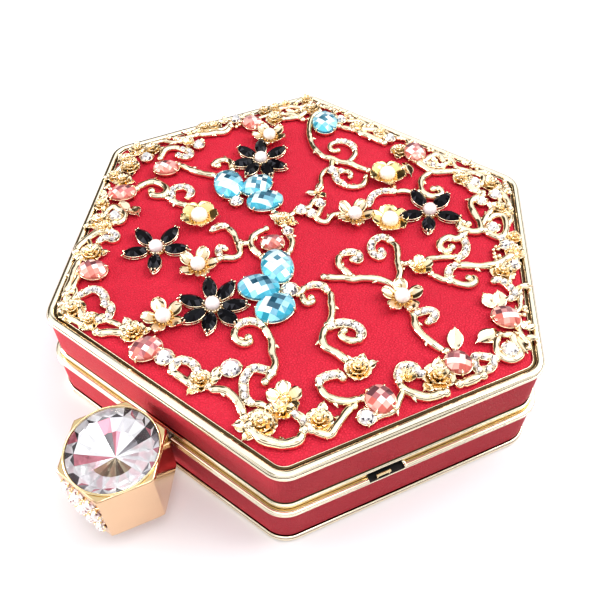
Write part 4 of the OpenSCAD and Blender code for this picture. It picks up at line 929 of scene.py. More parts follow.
def petal(b, cx, cy, ang, r0, r1, width, z0, z1, cup=0.25, curl=0.0, thick=0.26, nu=7, nv=6, point=0.0, mat_i=0, col_in=W, col_out=W, fold=0.0):
    ca, sa = math.cos(ang * D2R), math.sin(ang * D2R)
    top, bot = [], []
    for i in range(nu + 1):
        u = 1 - (1 - i / nu) ** 1.6
        sh = (0.42 + 0.58 * math.sin(min(1, u / 0.6) * math.pi / 2)) * max(0.0, 1 - max(0, (u - 0.5) / 0.5) ** 2.3) ** 0.5
        if point:
            sh = sh * (1 - point) + point * (math.sin(math.pi * min(1, 0.08 + u * 0.95)) ** 0.9)
        sh = max(sh, 0.06)
        hw = width / 2 * sh
        for j in range(nv + 1):
            v = -1 + 2 * j / nv
            rr = r0 + (r1 - r0) * (u - 0.10 * u * u * v * v)
            y = hw * v
            z = z0 + (z1 - z0) * u ** 1.2 + cup * v * v * (0.4 + 0.6 * u) + curl * max(0, u - 0.6) ** 2 * 6 - fold * (1 - abs(v)) * sh
            x_, y_ = cx + rr * ca - y * sa, cy + rr * sa + y * ca
            top.append((x_, y_, min(z, ZMAX)))
            bot.append((x_, y_, min(z, ZMAX) - thick))
    n1 = nv + 1
    N = len(top)
    F, C = [], []
    for i in range(nu):
        # colour runs from col_in at the petal base to col_out at the tip; a darker col_in is painted shade at the base
        c = tuple(col_in[k] + (col_out[k] - col_in[k]) * min(1, (i + 0.5) / nu * 1.6) for k in range(3))
        for j in range(nv):
            a = i * n1 + j
            F.append((a, a + n1, a + n1 + 1, a + 1)); C.append(c)
            F.append((N + a, N + a + 1, N + a + n1 + 1, N + a + n1)); C.append(W)
    for i in range(nu):
        a = i * n1
        F.append((a, N + a, N + a + n1, a + n1)); C.append(W)
        a = i * n1 + nv
        F.append((a + n1, N + a + n1, N + a, a)); C.append(W)
    for j in range(nv):
        F.append((j + 1, N + j + 1, N + j, j)); C.append(W)
        a = nu * n1 + j
        F.append((a, N + a, N + a + 1, a + 1)); C.append(W)
    b.add(top + bot, F, mat_i, True, C)


# darker ochre tint for casting centres and petal bases where the parts meet: painted shade in the hollows
HOLLOW_SHADE = (0.95, 0.83, 0.55)
# deeper yellow for the petal bases inside the cup flowers' bowls: painted shade
CUP_BOWL_SHADE = (0.96, 0.80, 0.34)


def rosette(b, x, y, R, seed):
    r_ = random.Random(seed)
    a0 = r_.uniform(0, 360)
    ball(b, (x, y, PZ + 0.25), R * 0.74, 0, 14, 5, -0.1, 0.9 / R, HOLLOW_SHADE)
    for i in range(5):
        petal(b, x, y, a0 + 72 * i + r_.uniform(-6, 6), R * 0.3, R * 1.02, R * 1.12, PZ + 0.75, PZ + r_.uniform(0.95, 1.5), 0.3, -0.35, 0.3, col_in=HOLLOW_SHADE)
    for i in range(5):
        petal(b, x, y, a0 + 36 + 72 * i + r_.uniform(-8, 8), R * 0.16, R * 0.72, R * 0.82, PZ + 1.25, PZ + r_.uniform(1.9, 2.3), 0.32, -0.25, 0.28, 6, 5, col_in=HOLLOW_SHADE)
    for i in range(4):
        petal(b, x, y, a0 + 15 + 90 * i, R * 0.05, R * 0.44, R * 0.56, PZ + 1.6, PZ + 2.6, 0.25, 0.0, 0.26, 5, 4, col_in=HOLLOW_SHADE)
    ball(b, (x, y, PZ + 2.2), R * 0.17, 0, 8, 5, -0.9)


def cluster(b, x, y, R, seed):
    r_ = random.Random(seed)
    a0 = r_.uniform(0, 360)
    ball(b, (x, y, PZ + 0.2), R * 0.55, 0, 12, 5, -0.1, 0.9 / R, HOLLOW_SHADE)
    for i in range(5):
        petal(b, x, y, a0 + 72 * i, R * 0.2, R * 1.05, R * 0.86, PZ + 0.8, PZ + 2.0, 0.35, 0.0, 0.3, col_in=HOLLOW_SHADE)
    for i in range(6):
        t = (a0 + 60 * i) * D2R
        ball(b, (x + R * 0.2 * math.cos(t), y + R * 0.2 * math.sin(t), PZ + 1.5), R * 0.12, 0, 8, 5, -0.9, col=HOLLOW_SHADE)
    ball(b, (x, y, PZ + 1.8), R * 0.15, 0, 8, 5, -0.9)


b = Build()
pave = Build()
for k, (kind, w, pts) in enumerate(LAY_V):
    if kind == "g":
        wire(b, pts, w, 100 + k)
        continue
    q, L = even(smooth(pts, 8), 0.4)
    T = tangents(q)
    n = len(q)
    h = w / 2 * 1.3
    prof = [(-h + 0.12, 0.0), (-h, 0.5), (-h, 1.2), (-h + 0.1, 1.42), (-h + 0.24, 1.4), (-h + 0.3, 1.16), (h - 0.3, 1.16), (h - 0.24, 1.4), (h - 0.1, 1.42), (h, 1.2), (h, 0.5), (h - 0.12, 0.0)]
    m = len(prof)
    V, F = [], []
    for i in range(n):
        s = i / (n - 1) * L
        kk = 0.75 + 0.25 * min(1, min(s, L - s) / 1.2)
        for dx, dz in prof:
            V.append((q[i][0] - T[i][1] * dx * kk, q[i][1] + T[i][0] * dx * kk, PZ + dz))
    for i in range(n - 1):
        for j in range(m):
            F.append((i * m + j, (i + 1) * m + j, (i + 1) * m + (j + 1) % m, i * m + (j + 1) % m))
    F.append(tuple(range(m)))
    F.append(tuple(reversed(range((n - 1) * m, n * m))))
    b.add(V, F, 0, True)
    for i in (0, n - 1):
        ball(b, (q[i][0], q[i][1], PZ + 0.72), w * 0.62, 0, 12, 7, -0.8)
    r_ = random.Random(500 + k)
    cnt = max(1, int((L - 1.0) / 2.0))
    for c in range(cnt + 1):
        s = 0.5 + (L - 1.0) * c / cnt
        i = min(n - 1, int(s / L * (n - 1) + 0.5))
        rr = (h - 0.26) * (0.92 + 0.1 * r_.random())
        round_gem(pave, (q[i][0], q[i][1], PZ + 1.2), rr, 0.85, 0, CLEAR_FACET_LIGHT, r_, 8)
        s2 = s + (L - 1.0) / cnt / 2
        if c < cnt:
            i2 = min(n - 1, int(s2 / L * (n - 1) + 0.5))
            for sg in (-1, 1):
                ball(b, (q[i2][0] - T[i2][1] * (h - 0.2) * sg, q[i2][1] + T[i2][0] * (h - 0.2) * sg, PZ + 1.45), 0.25, 0, 7, 4, -0.8)

for k, (x, y, R) in enumerate(RO):
    rosette(b, x, y, R, 900 + k)
    r_ = random.Random(950 + k)
    a = r_.uniform(0, 360)
    for da in (0, r_.uniform(110, 220)):
        petal(b, x, y, a + da, R * 0.55, R * 1.5, R * 0.72, PZ + 0.8, PZ + 1.35, 0.15, 0.1, 0.34, 8, 6, point=0.9, fold=0.3)
for k, (x, y, R) in enumerate(GC):
    cluster(b, x, y, R, 700 + k)
for k, (x, y, R) in enumerate(L3):
    for a in (90, 215, 325):
        petal(b, x, y, a + 20 * k, 0.3, R * 1.2, R * 0.75, PZ + 0.6, PZ + 1.5, 0.15, 0, 0.35, point=0.8, fold=0.25)
    ball(b, (x, y, PZ + 1.0), 0.7, 0, 10, 5, -0.9)
for k, (p0, p1, w) in enumerate(LF):
    a = math.degrees(math.atan2(p1[1] - p0[1], p1[0] - p0[0]))
    L = math.hypot(p1[1] - p0[1], p1[0] - p0[0])
    petal(b, p0[0], p0[1], a, 0, L + 0.8, w, PZ + 0.75, PZ + 1.7, 0.22, -0.5, 0.32, 10, 8, point=0.85, fold=0.45)
# wreath along the edges: a winding stem and small castings wherever the border is still open
TAKEN = [(x, y, R) for x, y, R in RO + GC + L3] + [(x, y, d / 2 + 0.2) for x, y, d in CR] + [(p[0], p[1], (p[2] + p[3]) / 4 + 0.2) for p in AQ + RS]
TAKEN += [(x, y, 5.2) for x, y, _ in FP + CU] + [(x, y, 8.5) for x, y, _ in BF]
for kind, w, pts in LAY_V:
    TAKEN += [(x, y, w * 0.62) for x, y in even(smooth(pts, 6), 0.8)[0]]
for p0, p1, w in LF:
    TAKEN += [(p0[0] + (p1[0] - p0[0]) * t, p0[1] + (p1[1] - p0[1]) * t, w * 0.4) for t in (0, 0.5, 1)]
r_ = random.Random(77)


def side_point(k, inset, t):
    """Point on the lid panel: side k, that far in from its edge, t along it from its middle."""
    nn = (-30 + 60 * k) * D2R
    a = (LP if k % 3 == 2 else LP + SLANT) - inset
    return (a * math.cos(nn) - t * math.sin(nn), a * math.sin(nn) + t * math.cos(nn))


seed = 3000
for k, half, lo_in in ((1, 32, 0.7), (2, 32, 0.7), (3, 32, 0.7), (4, 32, 0.9)):
    ph = r_.uniform(0, 6)
    t = -half + 1.0
    run = []
    while t <= half:
        run.append(side_point(k, lo_in + 1.6 + 1.3 * math.sin(t * 0.42 + ph) + 0.35 * math.sin(t * 1.1), t))
        t += 1.2
    if k in (1, 2, 3, 4):
        cut_at = r_.randint(14, 20)
        for seg_ in (run[:cut_at], run[cut_at + 2:cut_at * 2 + 2], run[cut_at * 2 + 4:]):
            if len(seg_) > 4:
                wire(b, seg_, 1.25, seed)
                seed += 1
    for inset in (lo_in, lo_in + 1.9, lo_in + 3.9, lo_in + 5.6):
        t = -half + r_.uniform(0, 2)
        while t < half:
            x, y = side_point(k, inset, t)
            gap = min(math.hypot(x - u, y - v) - R for u, v, R in TAKEN)
            if gap > 1.15:
                kind = r_.choice("rrlllbbc")
                R = min(2.5, gap + 0.45)
                if kind == "r" and gap > 1.4:
                    rosette(b, x, y, R, seed)
                elif kind == "c" and gap > 1.4:
                    cluster(b, x, y, R, seed)
                elif kind == "l":
                    a = r_.uniform(0, 360)
                    for da in (0, r_.uniform(70, 130)):
                        petal(b, x, y, a + da, -0.3, min(3.2, gap + 1.3), 1.9, PZ + 1.0, PZ + r_.uniform(1.4, 2.0), 0.2, -0.3, 0.32, 7, 6, point=0.85, fold=0.35)
                    ball(b, (x, y, PZ + 1.1), 0.6, 0, 9, 5, -0.9)
                else:
                    for q_ in range(3):
                        a = r_.uniform(0, 6.28)
                        ball(b, (x + 0.8 * math.cos(a), y + 0.8 * math.sin(a), PZ + 0.9), r_.uniform(0.6, 0.85), 0, 10, 6, -0.9)
                TAKEN.append((x, y, R * 0.75))
                seed += 1
            t += 1.3
ORN = b.make("filigree_cast", "lid", [CAST], "gilt_cast", ["filigree_border", "filigree_vines"])
PAVE = pave.make("pave_stones", "lid", [CLEAR], "clear_glass", ["pave_crystals"])

# flowers
b = Build()
pr_b = Build()
for k, (x, y, a0) in enumerate(FP):
    r_ = random.Random(40 + k)
    ball(b, (x, y, PZ + 0.3), 2.5, 0, 16, 5, -0.1, 0.45, HOLLOW_SHADE)
    for i in range(5):
        # dark brown at the petal bases: painted shade where the petals meet
        petal(b, x, y, a0 + 72 * i + r_.uniform(-4, 4), 1.2, 6.0, 4.1, PZ + 0.9, PZ + r_.uniform(2.0, 2.7), 0.75, 0.18, 0.36, 10, 8, col_in=(0.55, 0.38, 0.17))
    for i in range(14):
        t = (a0 + 360 / 14 * i) * D2R
        tube3(b, [(x + 1.5 * math.cos(t), y + 1.5 * math.sin(t), PZ + 0.9), (x + 2.5 * math.cos(t), y + 2.5 * math.sin(t), PZ + 1.5)], [0.14, 0.16], 6, 0, HOLLOW_SHADE)
        ball(b, (x + 2.55 * math.cos(t), y + 2.55 * math.sin(t), PZ + 1.55), 0.24, 0, 7, 4, -0.9, col=(0.95, 0.75, 0.4))
    ball(pr_b, (x, y, PZ + 2.15), 2.1, 0, 32, 16, -0.8)
for k, (x, y, a0) in enumerate(CU):
    r_ = random.Random(60 + k)
    ball(b, (x, y, PZ + 0.3), 3.0, 0, 18, 5, -0.1, 0.4, HOLLOW_SHADE)
    for i in range(5):
        # petals run from a deeper yellow inside the bowl, painted shade, to pale cream at the rim
        petal(b, x, y, a0 + 72 * i, 1.2, 5.9, 5.6, PZ + 0.8 + 0.12 * (i % 3), PZ + 2.75 - 0.35 * math.cos((a0 + 72 * i - 127) * D2R), 0.45, -0.3, 0.36, 12, 10, col_in=CUP_BOWL_SHADE, col_out=(1.0, 0.95, 0.72))
    for i in range(16):
        t = (a0 + 22.5 * i) * D2R
        ball(b, (x + 2.75 * math.cos(t), y + 2.75 * math.sin(t), PZ + 1.5), 0.26, 0, 7, 4, -0.9, col=(0.95, 0.75, 0.4))
    ball(pr_b, (x, y, PZ + 1.85), 2.5, 0, 32, 16, -0.7)


def marq_pts(l, w, n=7):
    hh, s = l / 2, w / 2
    r = (hh * hh + s * s) / (2 * s)
    a = math.asin(hh / r)
    up = [(r * math.sin(a - 2 * a * i / n), r * math.cos(a - 2 * a * i / n) - (r - s)) for i in range(n)]
    return up + [(-x, -y) for x, y in up]


mb = Build()
jet = Build()
JETS = [(0.006, 0.005, 0.007), (0.010, 0.010, 0.012), (0.05, 0.05, 0.06), (0.004, 0.004, 0.005), (0.016, 0.016, 0.02)]
for k, (x, y, angs) in enumerate(BF):
    r_ = random.Random(80 + k)
    for a in angs:
        ca, sa = math.cos(a * D2R), math.sin(a * D2R)
        tilt = 0.10
        def P(u, v, z):
            xx = 5.75 + u
            return (x + xx * ca - v * sa, y + xx * sa + v * ca, PZ + z + tilt * u)
        out = marq_pts(7.6, 3.8)
        inn = [(p[0] * 0.54, p[1] * 0.44) for p in out]
        m = len(out)
        for j in range(m):
            kk = (j + 1) % m
            jet.add([P(*out[j], 1.75), P(*out[kk], 1.75), P(*out[kk], 2.0), P(*out[j], 2.0)], [(0, 1, 2, 3)], 0, False, [pick(JETS, r_)])
            if j % 2 == 0:
                j2 = (j + 2) % m
                jet.add([P(*out[j], 2.0), P(*out[kk], 2.0), P(*inn[kk], 3.0)], [(0, 1, 2)], 0, False, [pick(JETS, r_)])
                jet.add([P(*out[kk], 2.0), P(*out[j2], 2.0), P(*inn[kk], 3.0)], [(0, 1, 2)], 0, False, [pick(JETS, r_)])
                jet.add([P(*out[j2], 2.0), P(*inn[(kk + 2) % m], 3.0), P(*inn[kk], 3.0)], [(0, 1, 2)], 0, False, [pick(JETS, r_)])
        jet.add([P(*inn[j], 3.0) for j in range(1, m, 2)], [tuple(range(len(range(1, m, 2))))], 0, False, [pick(JETS[:2], r_)])
        # gallery: lower rail, upper rail, posts and tip prongs
        for g, z, rad in ((-0.1, 0.5, 0.26), (-0.02, 1.45, 0.24)):
            rail = marq_pts(7.5 + 2 * g, 3.7 + 2 * g)
            tube3(mb, [P(*p, z) for p in rail + rail[:1]], [rad] * (m + 1), 6, caps=False)
        for j in range(0, m):
            if j % 2 == 0:
                p0, p1 = marq_pts(7.3, 3.5)[j], marq_pts(7.4, 3.6)[j]
                tube3(mb, [P(*p0, 0.15), P(*p1, 1.7)], [0.24, 0.2], 6)
        for sgn in (1, -1):
            for v in (0.55, -0.55):
                tube3(mb, [P(sgn * 3.45, v, 1.4), P(sgn * 3.35, v * 0.95, 2.1), P(sgn * 3.1, v * 0.8, 2.3)], [0.24, 0.24, 0.2], 7)
                ball(mb, P(sgn * 3.15, v * 0.85, 2.3), 0.33, 0, 8, 5)
        ball(mb, P(4.05, 0, 1.0), 0.42, 0, 8, 5)
    # hub
    ball(mb, (x, y, PZ + 0.2), 2.3, 0, 16, 5, -0.1, 0.6, HOLLOW_SHADE)
    for i in range(12):
        t = 30 * i * D2R
        ball(mb, (x + 2.1 * math.cos(t), y + 2.1 * math.sin(t), PZ + 1.35), 0.34, 0, 8, 5, -0.9)
    ball(pr_b, (x, y, PZ + 2.25), 2.0, 0, 32, 16, -0.8)
b.make("flower_petals", "lid", [CAST], "gilt_cast", ["flower_castings"])
pr_b.make("pearls", "lid", [PEARL], "pearl", ["flower_pearls"])
mb.make("marquise_gallery", "lid", [CAST], "gilt_cast", ["marquise_settings"])
jet.make("black_marquises", "lid", [JET], "black_glass", ["black_marquise_stones"])

# ovals and crystals with their cups and prongs
st = Build()
aq = Build()
for k, p in enumerate(AQ):
    r_ = random.Random(300 + k)
    bezel(st, p, PZ, PZ + 1.75, -0.25, 0.18)
    oval_gem(aq, p, PZ + 1.5, ZMAX - 0.05 - PZ - 1.5, 0, aqua_facet_light, r_)
    for a in (42, 138, 222, 318):
        claw(st, p, a + r_.uniform(-6, 6), PZ + 0.6, PZ + 2.55, 0.26)
aq.make("aqua_gems", "lid", [AQUA], "aqua_glass", ["aqua_stones"])
rs = Build()
for k, p in enumerate(RS):
    r_ = random.Random(330 + k)
    bezel(st, p, PZ, PZ + 1.75, -0.2, 0.3)
    oval_gem(rs, p, PZ + 1.5, 2.3, 0, rose_facet_light, r_, 4.4)
    for a in (38, 142, 218, 322):
        claw(st, p, a, PZ + 0.6, PZ + 2.5, 0.34)
rs.make("rose_gems", "lid", [ROSE], "rose_glass", ["rose_stones"])
cr = Build()
for k, (x, y, d) in enumerate(CR):
    r_ = random.Random(360 + k)
    p = [x, y, d, d, 45]
    bezel(st, p, PZ, PZ + 1.7, -0.15, 0.3, m=20)
    round_gem(cr, (x, y, PZ + 1.5), d / 2, 1.35, 0, CLEAR_FACET_LIGHT, r_, 10)
    for a in (0, 90, 180, 270):
        claw(st, p, a, PZ + 0.6, PZ + 2.25, 0.26)
cr.make("round_crystals", "lid", [CLEAR], "clear_glass", ["clear_crystals"])
st.make("stone_cups", "lid", [CAST], "gilt_cast", ["stone_settings"])

# ------------------------------------------------------------------ clasp knob
KY, KR, KZ0, KZ1, GR = -(BO + 12.95), 13.6, 6.8, 26.0, 11.2
KA = KR * math.cos(30 * D2R)


def knob_ring(inset, z, n=72):
    out = []
    for i in range(n):
        t = 360 * i / n
        ap = KA - inset
        r = ap / math.cos((t % 60 - 30) * D2R)
        rc = (KR - inset * 1.1547) - 0.25
        r = min(r, rc + 0.12)
        out.append((r * math.cos(t * D2R), KY + r * math.sin(t * D2R), z))
    return out


def circ(r, z, n=72):
    return [(r * math.cos(2 * math.pi * i / n), KY + r * math.sin(2 * math.pi * i / n), z) for i in range(n)]


def loft(b, rings_, mat_i=0, smooth=True, close_first=True, close_last=True, col=W):
    n = len(rings_[0])
    V = [p for r in rings_ for p in r]
    F = []
    for i in range(len(rings_) - 1):
        for j in range(n):
            k = (j + 1) % n
            F.append((i * n + j, i * n + k, (i + 1) * n + k, (i + 1) * n + j))
    if close_first:
        F.append(tuple(reversed(range(n))))
    if close_last:
        F.append(tuple(range((len(rings_) - 1) * n, len(rings_) * n)))
    b.add(V, F, mat_i, smooth, [col] * len(F))


b = Build()
loft(b, [knob_ring(1.2, KZ0), knob_ring(0.5, KZ0), knob_ring(0.12, KZ0 + 0.12), knob_ring(0.0, KZ0 + 0.5), knob_ring(0.0, KZ0 + 0.6)], smooth=True, close_last=False)
loft(b, [knob_ring(0.0, KZ0 + 0.6), knob_ring(0.0, KZ1 - 1.0)], smooth=False, close_first=False, close_last=False)
loft(b, [knob_ring(0.0, KZ1 - 1.0), knob_ring(0.02, KZ1 - 0.5), knob_ring(0.14, KZ1 - 0.18), knob_ring(0.4, KZ1 - 0.03), knob_ring(0.42, KZ1 - 0.03)], smooth=True, close_first=False, close_last=False)
# the knob shell takes the darker gold copy: painted shade
b.make("knob_shell", "clasp", [KNOB_GOLD_SHADED], "gilt", ["clasp_housing"])
b = Build()
# olive tint on the knob's top face: painted dark reflection
loft(b, [knob_ring(0.42, KZ1 - 0.03), circ(11.3, KZ1 - 0.03), circ(11.3, 19.5)], smooth=False, close_first=False, close_last=True, col=(0.64, 0.54, 0.38))
b.make("knob_top", "clasp", [RIM], "gilt")
b = Build()
loft(b, [circ(11.74, KZ1 - 0.02), circ(11.74, KZ1 + 0.35), circ(11.62, KZ1 + 0.6), circ(11.46, KZ1 + 0.68), circ(11.32, KZ1 + 0.6), circ(11.26, KZ1 + 0.3), circ(11.26, KZ1 - 0.4)], close_first=False, close_last=False)
b.make("knob_collar", "clasp", [GOLD], "gilt", ["clasp_collar"])

# large stone: foiled pavilion seen through a clear crown; its facet tones are painted reflections of the red leather
# and the gold, with painted highlights
r_ = random.Random(5)
pv = Build()
N = 18
zg = KZ1 - 0.1
apex = (0, KY, zg - 4.0)
FOIL_PAINTED_LIGHT = [(0.99, 0.98, 0.98), (1.0, 1.0, 1.0), (0.82, 0.80, 0.82), (0.30, 0.28, 0.30), (0.93, 0.91, 0.93), (0.09, 0.08, 0.085), (0.98, 0.97, 0.97), (0.60, 0.20, 0.25), (0.27, 0.21, 0.13), (0.46, 0.37, 0.24), (0.15, 0.11, 0.07)]
inner = [4, 2, 0, 3, 0, 1, 7, 5, 0, 0, 1, 7, 4, 9, 8, 9, 10, 9]
outer = [0, 4, 6, 5, 0, 2, 4, 7, 0, 1, 6, 7, 0, 4, 2, 6, 1, 4]
for i in range(N):
    a0, a1 = 2 * math.pi * i / N, 2 * math.pi * (i + 1) / N
    am = (a0 + a1) / 2
    R1, R2, R3 = 11.15, 9.4, 5.9

    def rp(r, a, z):
        return (r * math.cos(a), KY + r * math.sin(a), zg - z)
    p0, p1, pm = rp(R1, a0, 0), rp(R1, a1, 0), rp(R1, am, 0)
    q0, q1, qm = rp(R2, a0, 1.0), rp(R2, a1, 1.0), rp(R2 * 1.07, am, 0.62)
    t0, t1 = rp(R3, a0, 2.2), rp(R3, a1, 2.2)
    tm = rp(R3 * 1.02, am, 2.08)
    ci, cc = pick([FOIL_PAINTED_LIGHT[inner[i]]], r_), pick([FOIL_PAINTED_LIGHT[outer[i]]], r_)
    # lighter and darker copies of each facet's tone: painted light and shade
    pv.add([t0, tm, apex], [(0, 1, 2)], 0, False, [ci])
    pv.add([tm, t1, apex], [(0, 1, 2)], 0, False, [tuple(min(1, c * 0.86) for c in ci)])
    pv.add([q0, q1, tm], [(0, 1, 2)], 0, False, [cc])
    pv.add([q0, tm, t0], [(0, 1, 2)], 0, False, [tuple(c * 0.8 for c in cc)])
    pv.add([q1, t1, tm], [(0, 1, 2)], 0, False, [tuple(min(1, c * 1.05) for c in cc)])
    for tri in ((p0, pm, q0), (pm, qm, q0), (pm, p1, q1), (pm, q1, qm), (qm, q1, q0)):
        pv.add(list(tri), [(0, 1, 2)], 0, False, [pick(FOIL_PAINTED_LIGHT[:8] + FOIL_PAINTED_LIGHT[:1], r_)])
pv.make("rivoli_pavilion", "clasp", [RIVOLI], "clear_glass", ["clasp_stone"])
cp = Build()
M = 18
Vr = [[(r * math.cos(2 * math.pi * (i + o) / M), KY + r * math.sin(2 * math.pi * (i + o) / M), z) for i in range(M)]
      for r, z, o in ((11.2, KZ1 - 0.05, 0), (11.2, KZ1 + 0.2, 0), (9.2, KZ1 + 0.75, 0.5), (0.0, KZ1 + 2.0, 0))]
for i in range(M):
    k = (i + 1) % M
    cp.add([Vr[0][i], Vr[0][k], Vr[1][k], Vr[1][i]], [(0, 1, 2, 3)], 0, False)
    cp.add([Vr[1][i], Vr[1][k], Vr[2][i]], [(0, 1, 2)], 0, False)
    cp.add([Vr[1][k], Vr[2][k], Vr[2][i]], [(0, 1, 2)], 0, False)
    cp.add([Vr[2][i], Vr[2][k], Vr[3][0]], [(0, 1, 2)], 0, False)
cp.make("rivoli_crown", "clasp", [CAP], "clear_glass")

# crystals on the outward face of the knob; their peach, white and dark facet tones are painted reflections and
# highlights
b = Build()
g = Build()
r_ = random.Random(21)
FACE = [(-3.9, 22.7, 1.5), (0.2, 23.0, 1.65), (4.1, 22.5, 1.5), (-4.7, 19.2, 1.6), (-1.3, 19.4, 1.55), (2.1, 19.2, 1.65), (5.1, 19.0, 1.2), (-3.2, 15.6, 1.7), (0.4, 15.8, 1.6),
        (3.9, 15.3, 1.7), (-5.0, 12.4, 1.3), (-1.7, 12.2, 1.65), (1.8, 12.4, 1.5), (4.9, 11.8, 1.4), (-3.6, 9.0, 1.5), (0.0, 8.9, 1.5), (3.3, 8.7, 1.45)]
# peach, white and dark facet tones: painted reflections and highlights
KNOB_CRYSTAL_LIGHT = [(0.99, 0.95, 0.94), (0.98, 0.86, 0.82), (0.92, 0.70, 0.66), (0.60, 0.42, 0.42), (0.99, 0.97, 0.96), (0.30, 0.16, 0.16), (0.97, 0.9, 0.88)]
for i, (x, z, rr) in enumerate(FACE):
    round_gem(g, (x, KY - KA - 0.05, z), rr, 1.0, 0, KNOB_CRYSTAL_LIGHT, r_, 9, axis="front")
    for t in range(4):
        a = (45 + 90 * t + 20 * i) * D2R
        ball(b, (x + (rr + 0.05) * math.cos(a), KY - KA - 0.4, z + (rr + 0.05) * math.sin(a)), 0.34, 0, 8, 5)
g.make("knob_crystals", "clasp", [CLEAR], "clear_glass", ["clasp_pave_stones"])
b.make("knob_prongs", "clasp", [GOLD], "gilt")

# ------------------------------------------------------------------ CAD nodes that stay
# the chain notch liners are near-black: painted shade in the notches
KEEP = {
    "base_shell": STEEL, "lid_shell": STEEL, "base_lining": LINING_M, "lid_lining": LINING_M, "base_hinge_leaf": HINGE, "lid_hinge_leaf": HINGE,
    "base_hinge_rivets": HINGE, "lid_hinge_rivets": HINGE, "hinge_pin": STEEL, "chain_notch_liners": NOTCH_SHADE_BLACK, "chain_bars": GOLD, "clasp_bracket": STEEL,
    "clasp_bracket_rivets": GOLD, "clasp_pivot_pin": STEEL, "clasp_spring": STEEL, "lid_catch": STEEL, "clasp_lever": STEEL,
}
for nm, m in KEEP.items():
    o = frame["nodes"][nm]
    o.data.materials.clear()
    o.data.materials.append(m)

# ------------------------------------------------------------------ stage, light, camera
me = bpy.data.meshes.new("floor")
S = 6.0
me.from_pydata([(-S, -S, 0), (S, -S, 0), (S, S, 0), (-S, S, 0)], [], [(0, 1, 2, 3)])
floor = bpy.data.objects.new("floor", me)
bpy.context.scene.collection.objects.link(floor)
fm, nt, pb = mat("floor_white", (0.80, 0.79, 0.795), 0.0, 0.55, Specular_IOR_Level=0.2)
n_ = noise(nt, coords(nt), 3, 2)
nt.links.new(ramp(nt, n_.outputs["Fac"], [(0.3, (0.75, 0.725, 0.735)), (0.7, (0.77, 0.745, 0.755))]), pb.inputs["Base Color"])
pb.inputs["Emission Color"].default_value = (1, 1, 1, 1)
pb.inputs["Emission Strength"].default_value = 0.0
me.materials.append(fm)
floor.location.z = -0.0002

world = bpy.data.worlds.new("studio")
bpy.context.scene.world = world
world.use_nodes = True
wn = world.node_tree
bg = wn.nodes["Background"]
bg.inputs["Strength"].default_value = 1.19
_tc = node(wn, "ShaderNodeTexCoord")
_sx = node(wn, "ShaderNodeSeparateXYZ")
wn.links.new(_tc.outputs["Generated"], _sx.inputs["Vector"])
_sky = ramp(wn, _sx.outputs["Z"], [(0.0, (0.9, 0.9, 0.9)), (0.08, (0.9, 0.9, 0.91)), (0.13, (0.05, 0.04, 0.03)), (0.33, (0.08, 0.065, 0.055)), (0.40, (0.9, 0.91, 0.93)),
                                      (0.70, (0.95, 0.96, 0.98)), (1.0, (0.95, 0.96, 0.98))])


def patch(colour, direction, inner_deg, outer_deg, tone):
    """A soft-edged card of the studio, seen in that direction from the object."""
    dp = node(wn, "ShaderNodeVectorMath")
    dp.operation = "DOT_PRODUCT"
    d = Vector(direction).normalized()
    dp.inputs[1].default_value = tuple(d)
    wn.links.new(_tc.outputs["Generated"], dp.inputs[0])
    mr = node(wn, "ShaderNodeMapRange")
    mr.inputs["From Min"].default_value = math.cos(outer_deg * D2R)
    mr.inputs["From Max"].default_value = math.cos(inner_deg * D2R)
    wn.links.new(dp.outputs["Value"], mr.inputs["Value"])
    mx_ = node(wn, "ShaderNodeMix")
    mx_.data_type = "RGBA"
    wn.links.new(mr.outputs["Result"], mx_.inputs["Factor"])
    wn.links.new(colour, mx_.inputs[6])
    mx_.inputs[7].default_value = (*tone, 1)
    return mx_.outputs[2]


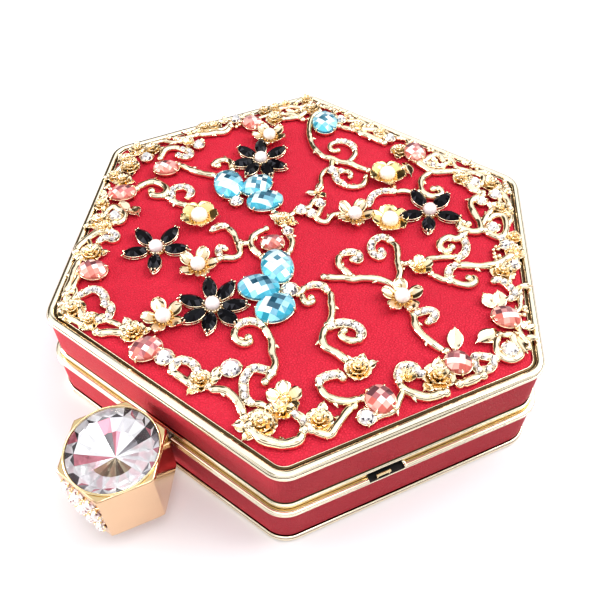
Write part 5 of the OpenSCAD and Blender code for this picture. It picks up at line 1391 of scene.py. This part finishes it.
_sky = patch(_sky, (-0.80, 0.42, 0.43), 20, 26, (0.05, 0.04, 0.03))
_sky = patch(_sky, (0.34, 0.72, 0.60), 5, 9, (0.06, 0.05, 0.03))
_sky = patch(_sky, (-0.15, -0.62, 0.77), 8, 13, (0.10, 0.08, 0.05))
_sky = patch(_sky, (0.62, 0.05, 0.78), 7, 12, (0.08, 0.065, 0.04))
_sky = patch(_sky, (-0.05, 0.12, 0.99), 4, 8, (0.16, 0.13, 0.09))
_sky = patch(_sky, (-0.93, 0.10, 0.36), 16, 21, (0.09, 0.075, 0.055))
_lp = node(wn, "ShaderNodeLightPath")
_plain = node(wn, "ShaderNodeMix")
_plain.data_type = "RGBA"
wn.links.new(_lp.outputs["Is Camera Ray"], _plain.inputs["Factor"])
wn.links.new(_sky, _plain.inputs[6])
_plain.inputs[7].default_value = (0.92, 0.93, 0.95, 1)
wn.links.new(_plain.outputs[2], bg.inputs["Color"])


def area(name, loc, target, size, power, color=(1, 1, 1), sy=None):
    l = bpy.data.lights.new(name, "AREA")
    l.energy = power
    l.color = color
    l.shape = "RECTANGLE"
    l.size = size
    l.size_y = sy or size
    o = bpy.data.objects.new(name, l)
    bpy.context.scene.collection.objects.link(o)
    o.location = loc
    d = Vector(target) - Vector(loc)
    o.rotation_euler = d.to_track_quat("-Z", "Y").to_euler()
    return o


area("key", (0.45, 0.55, 0.75), (0, 0, 0.02), 0.6, 5.0)
area("top", (0.15, -0.1, 0.95), (0, 0, 0), 0.4, 1.4)
area("left_front", (-0.6, -0.75, 0.4), (0, 0, 0.01), 0.5, 1.6)
area("left_wall", (-0.30, -0.27, 0.05), (-0.07, -0.055, 0.012), 0.1, 1.5)

cam = bpy.data.cameras.new("camera")
co = bpy.data.objects.new("camera", cam)
bpy.context.scene.collection.objects.link(co)
R = [[0.8010962976298313, 0.5981234429606808, -0.022205151303665294],
     [0.4344841276791662, -0.606641466048087, -0.6657399450730754],
     [-0.41166523360423746, 0.5236740194547451, -0.7458533748597507]]
mx = Matrix(((R[0][0], -R[1][0], -R[2][0], 0.082945), (R[0][1], -R[1][1], -R[2][1], -0.114950), (R[0][2], -R[1][2], -R[2][2], 0.181088), (0, 0, 0, 1)))
co.matrix_world = mx
cam.lens = 43.07
cam.sensor_width = 36
cam.shift_x = 0.03526
cam.shift_y = -0.05626
cam.clip_start = 0.01
cam.clip_end = 20
bpy.context.scene.camera = co
bpy.context.scene.view_settings.view_transform = "Standard"
bpy.context.scene.view_settings.look = "Medium High Contrast"
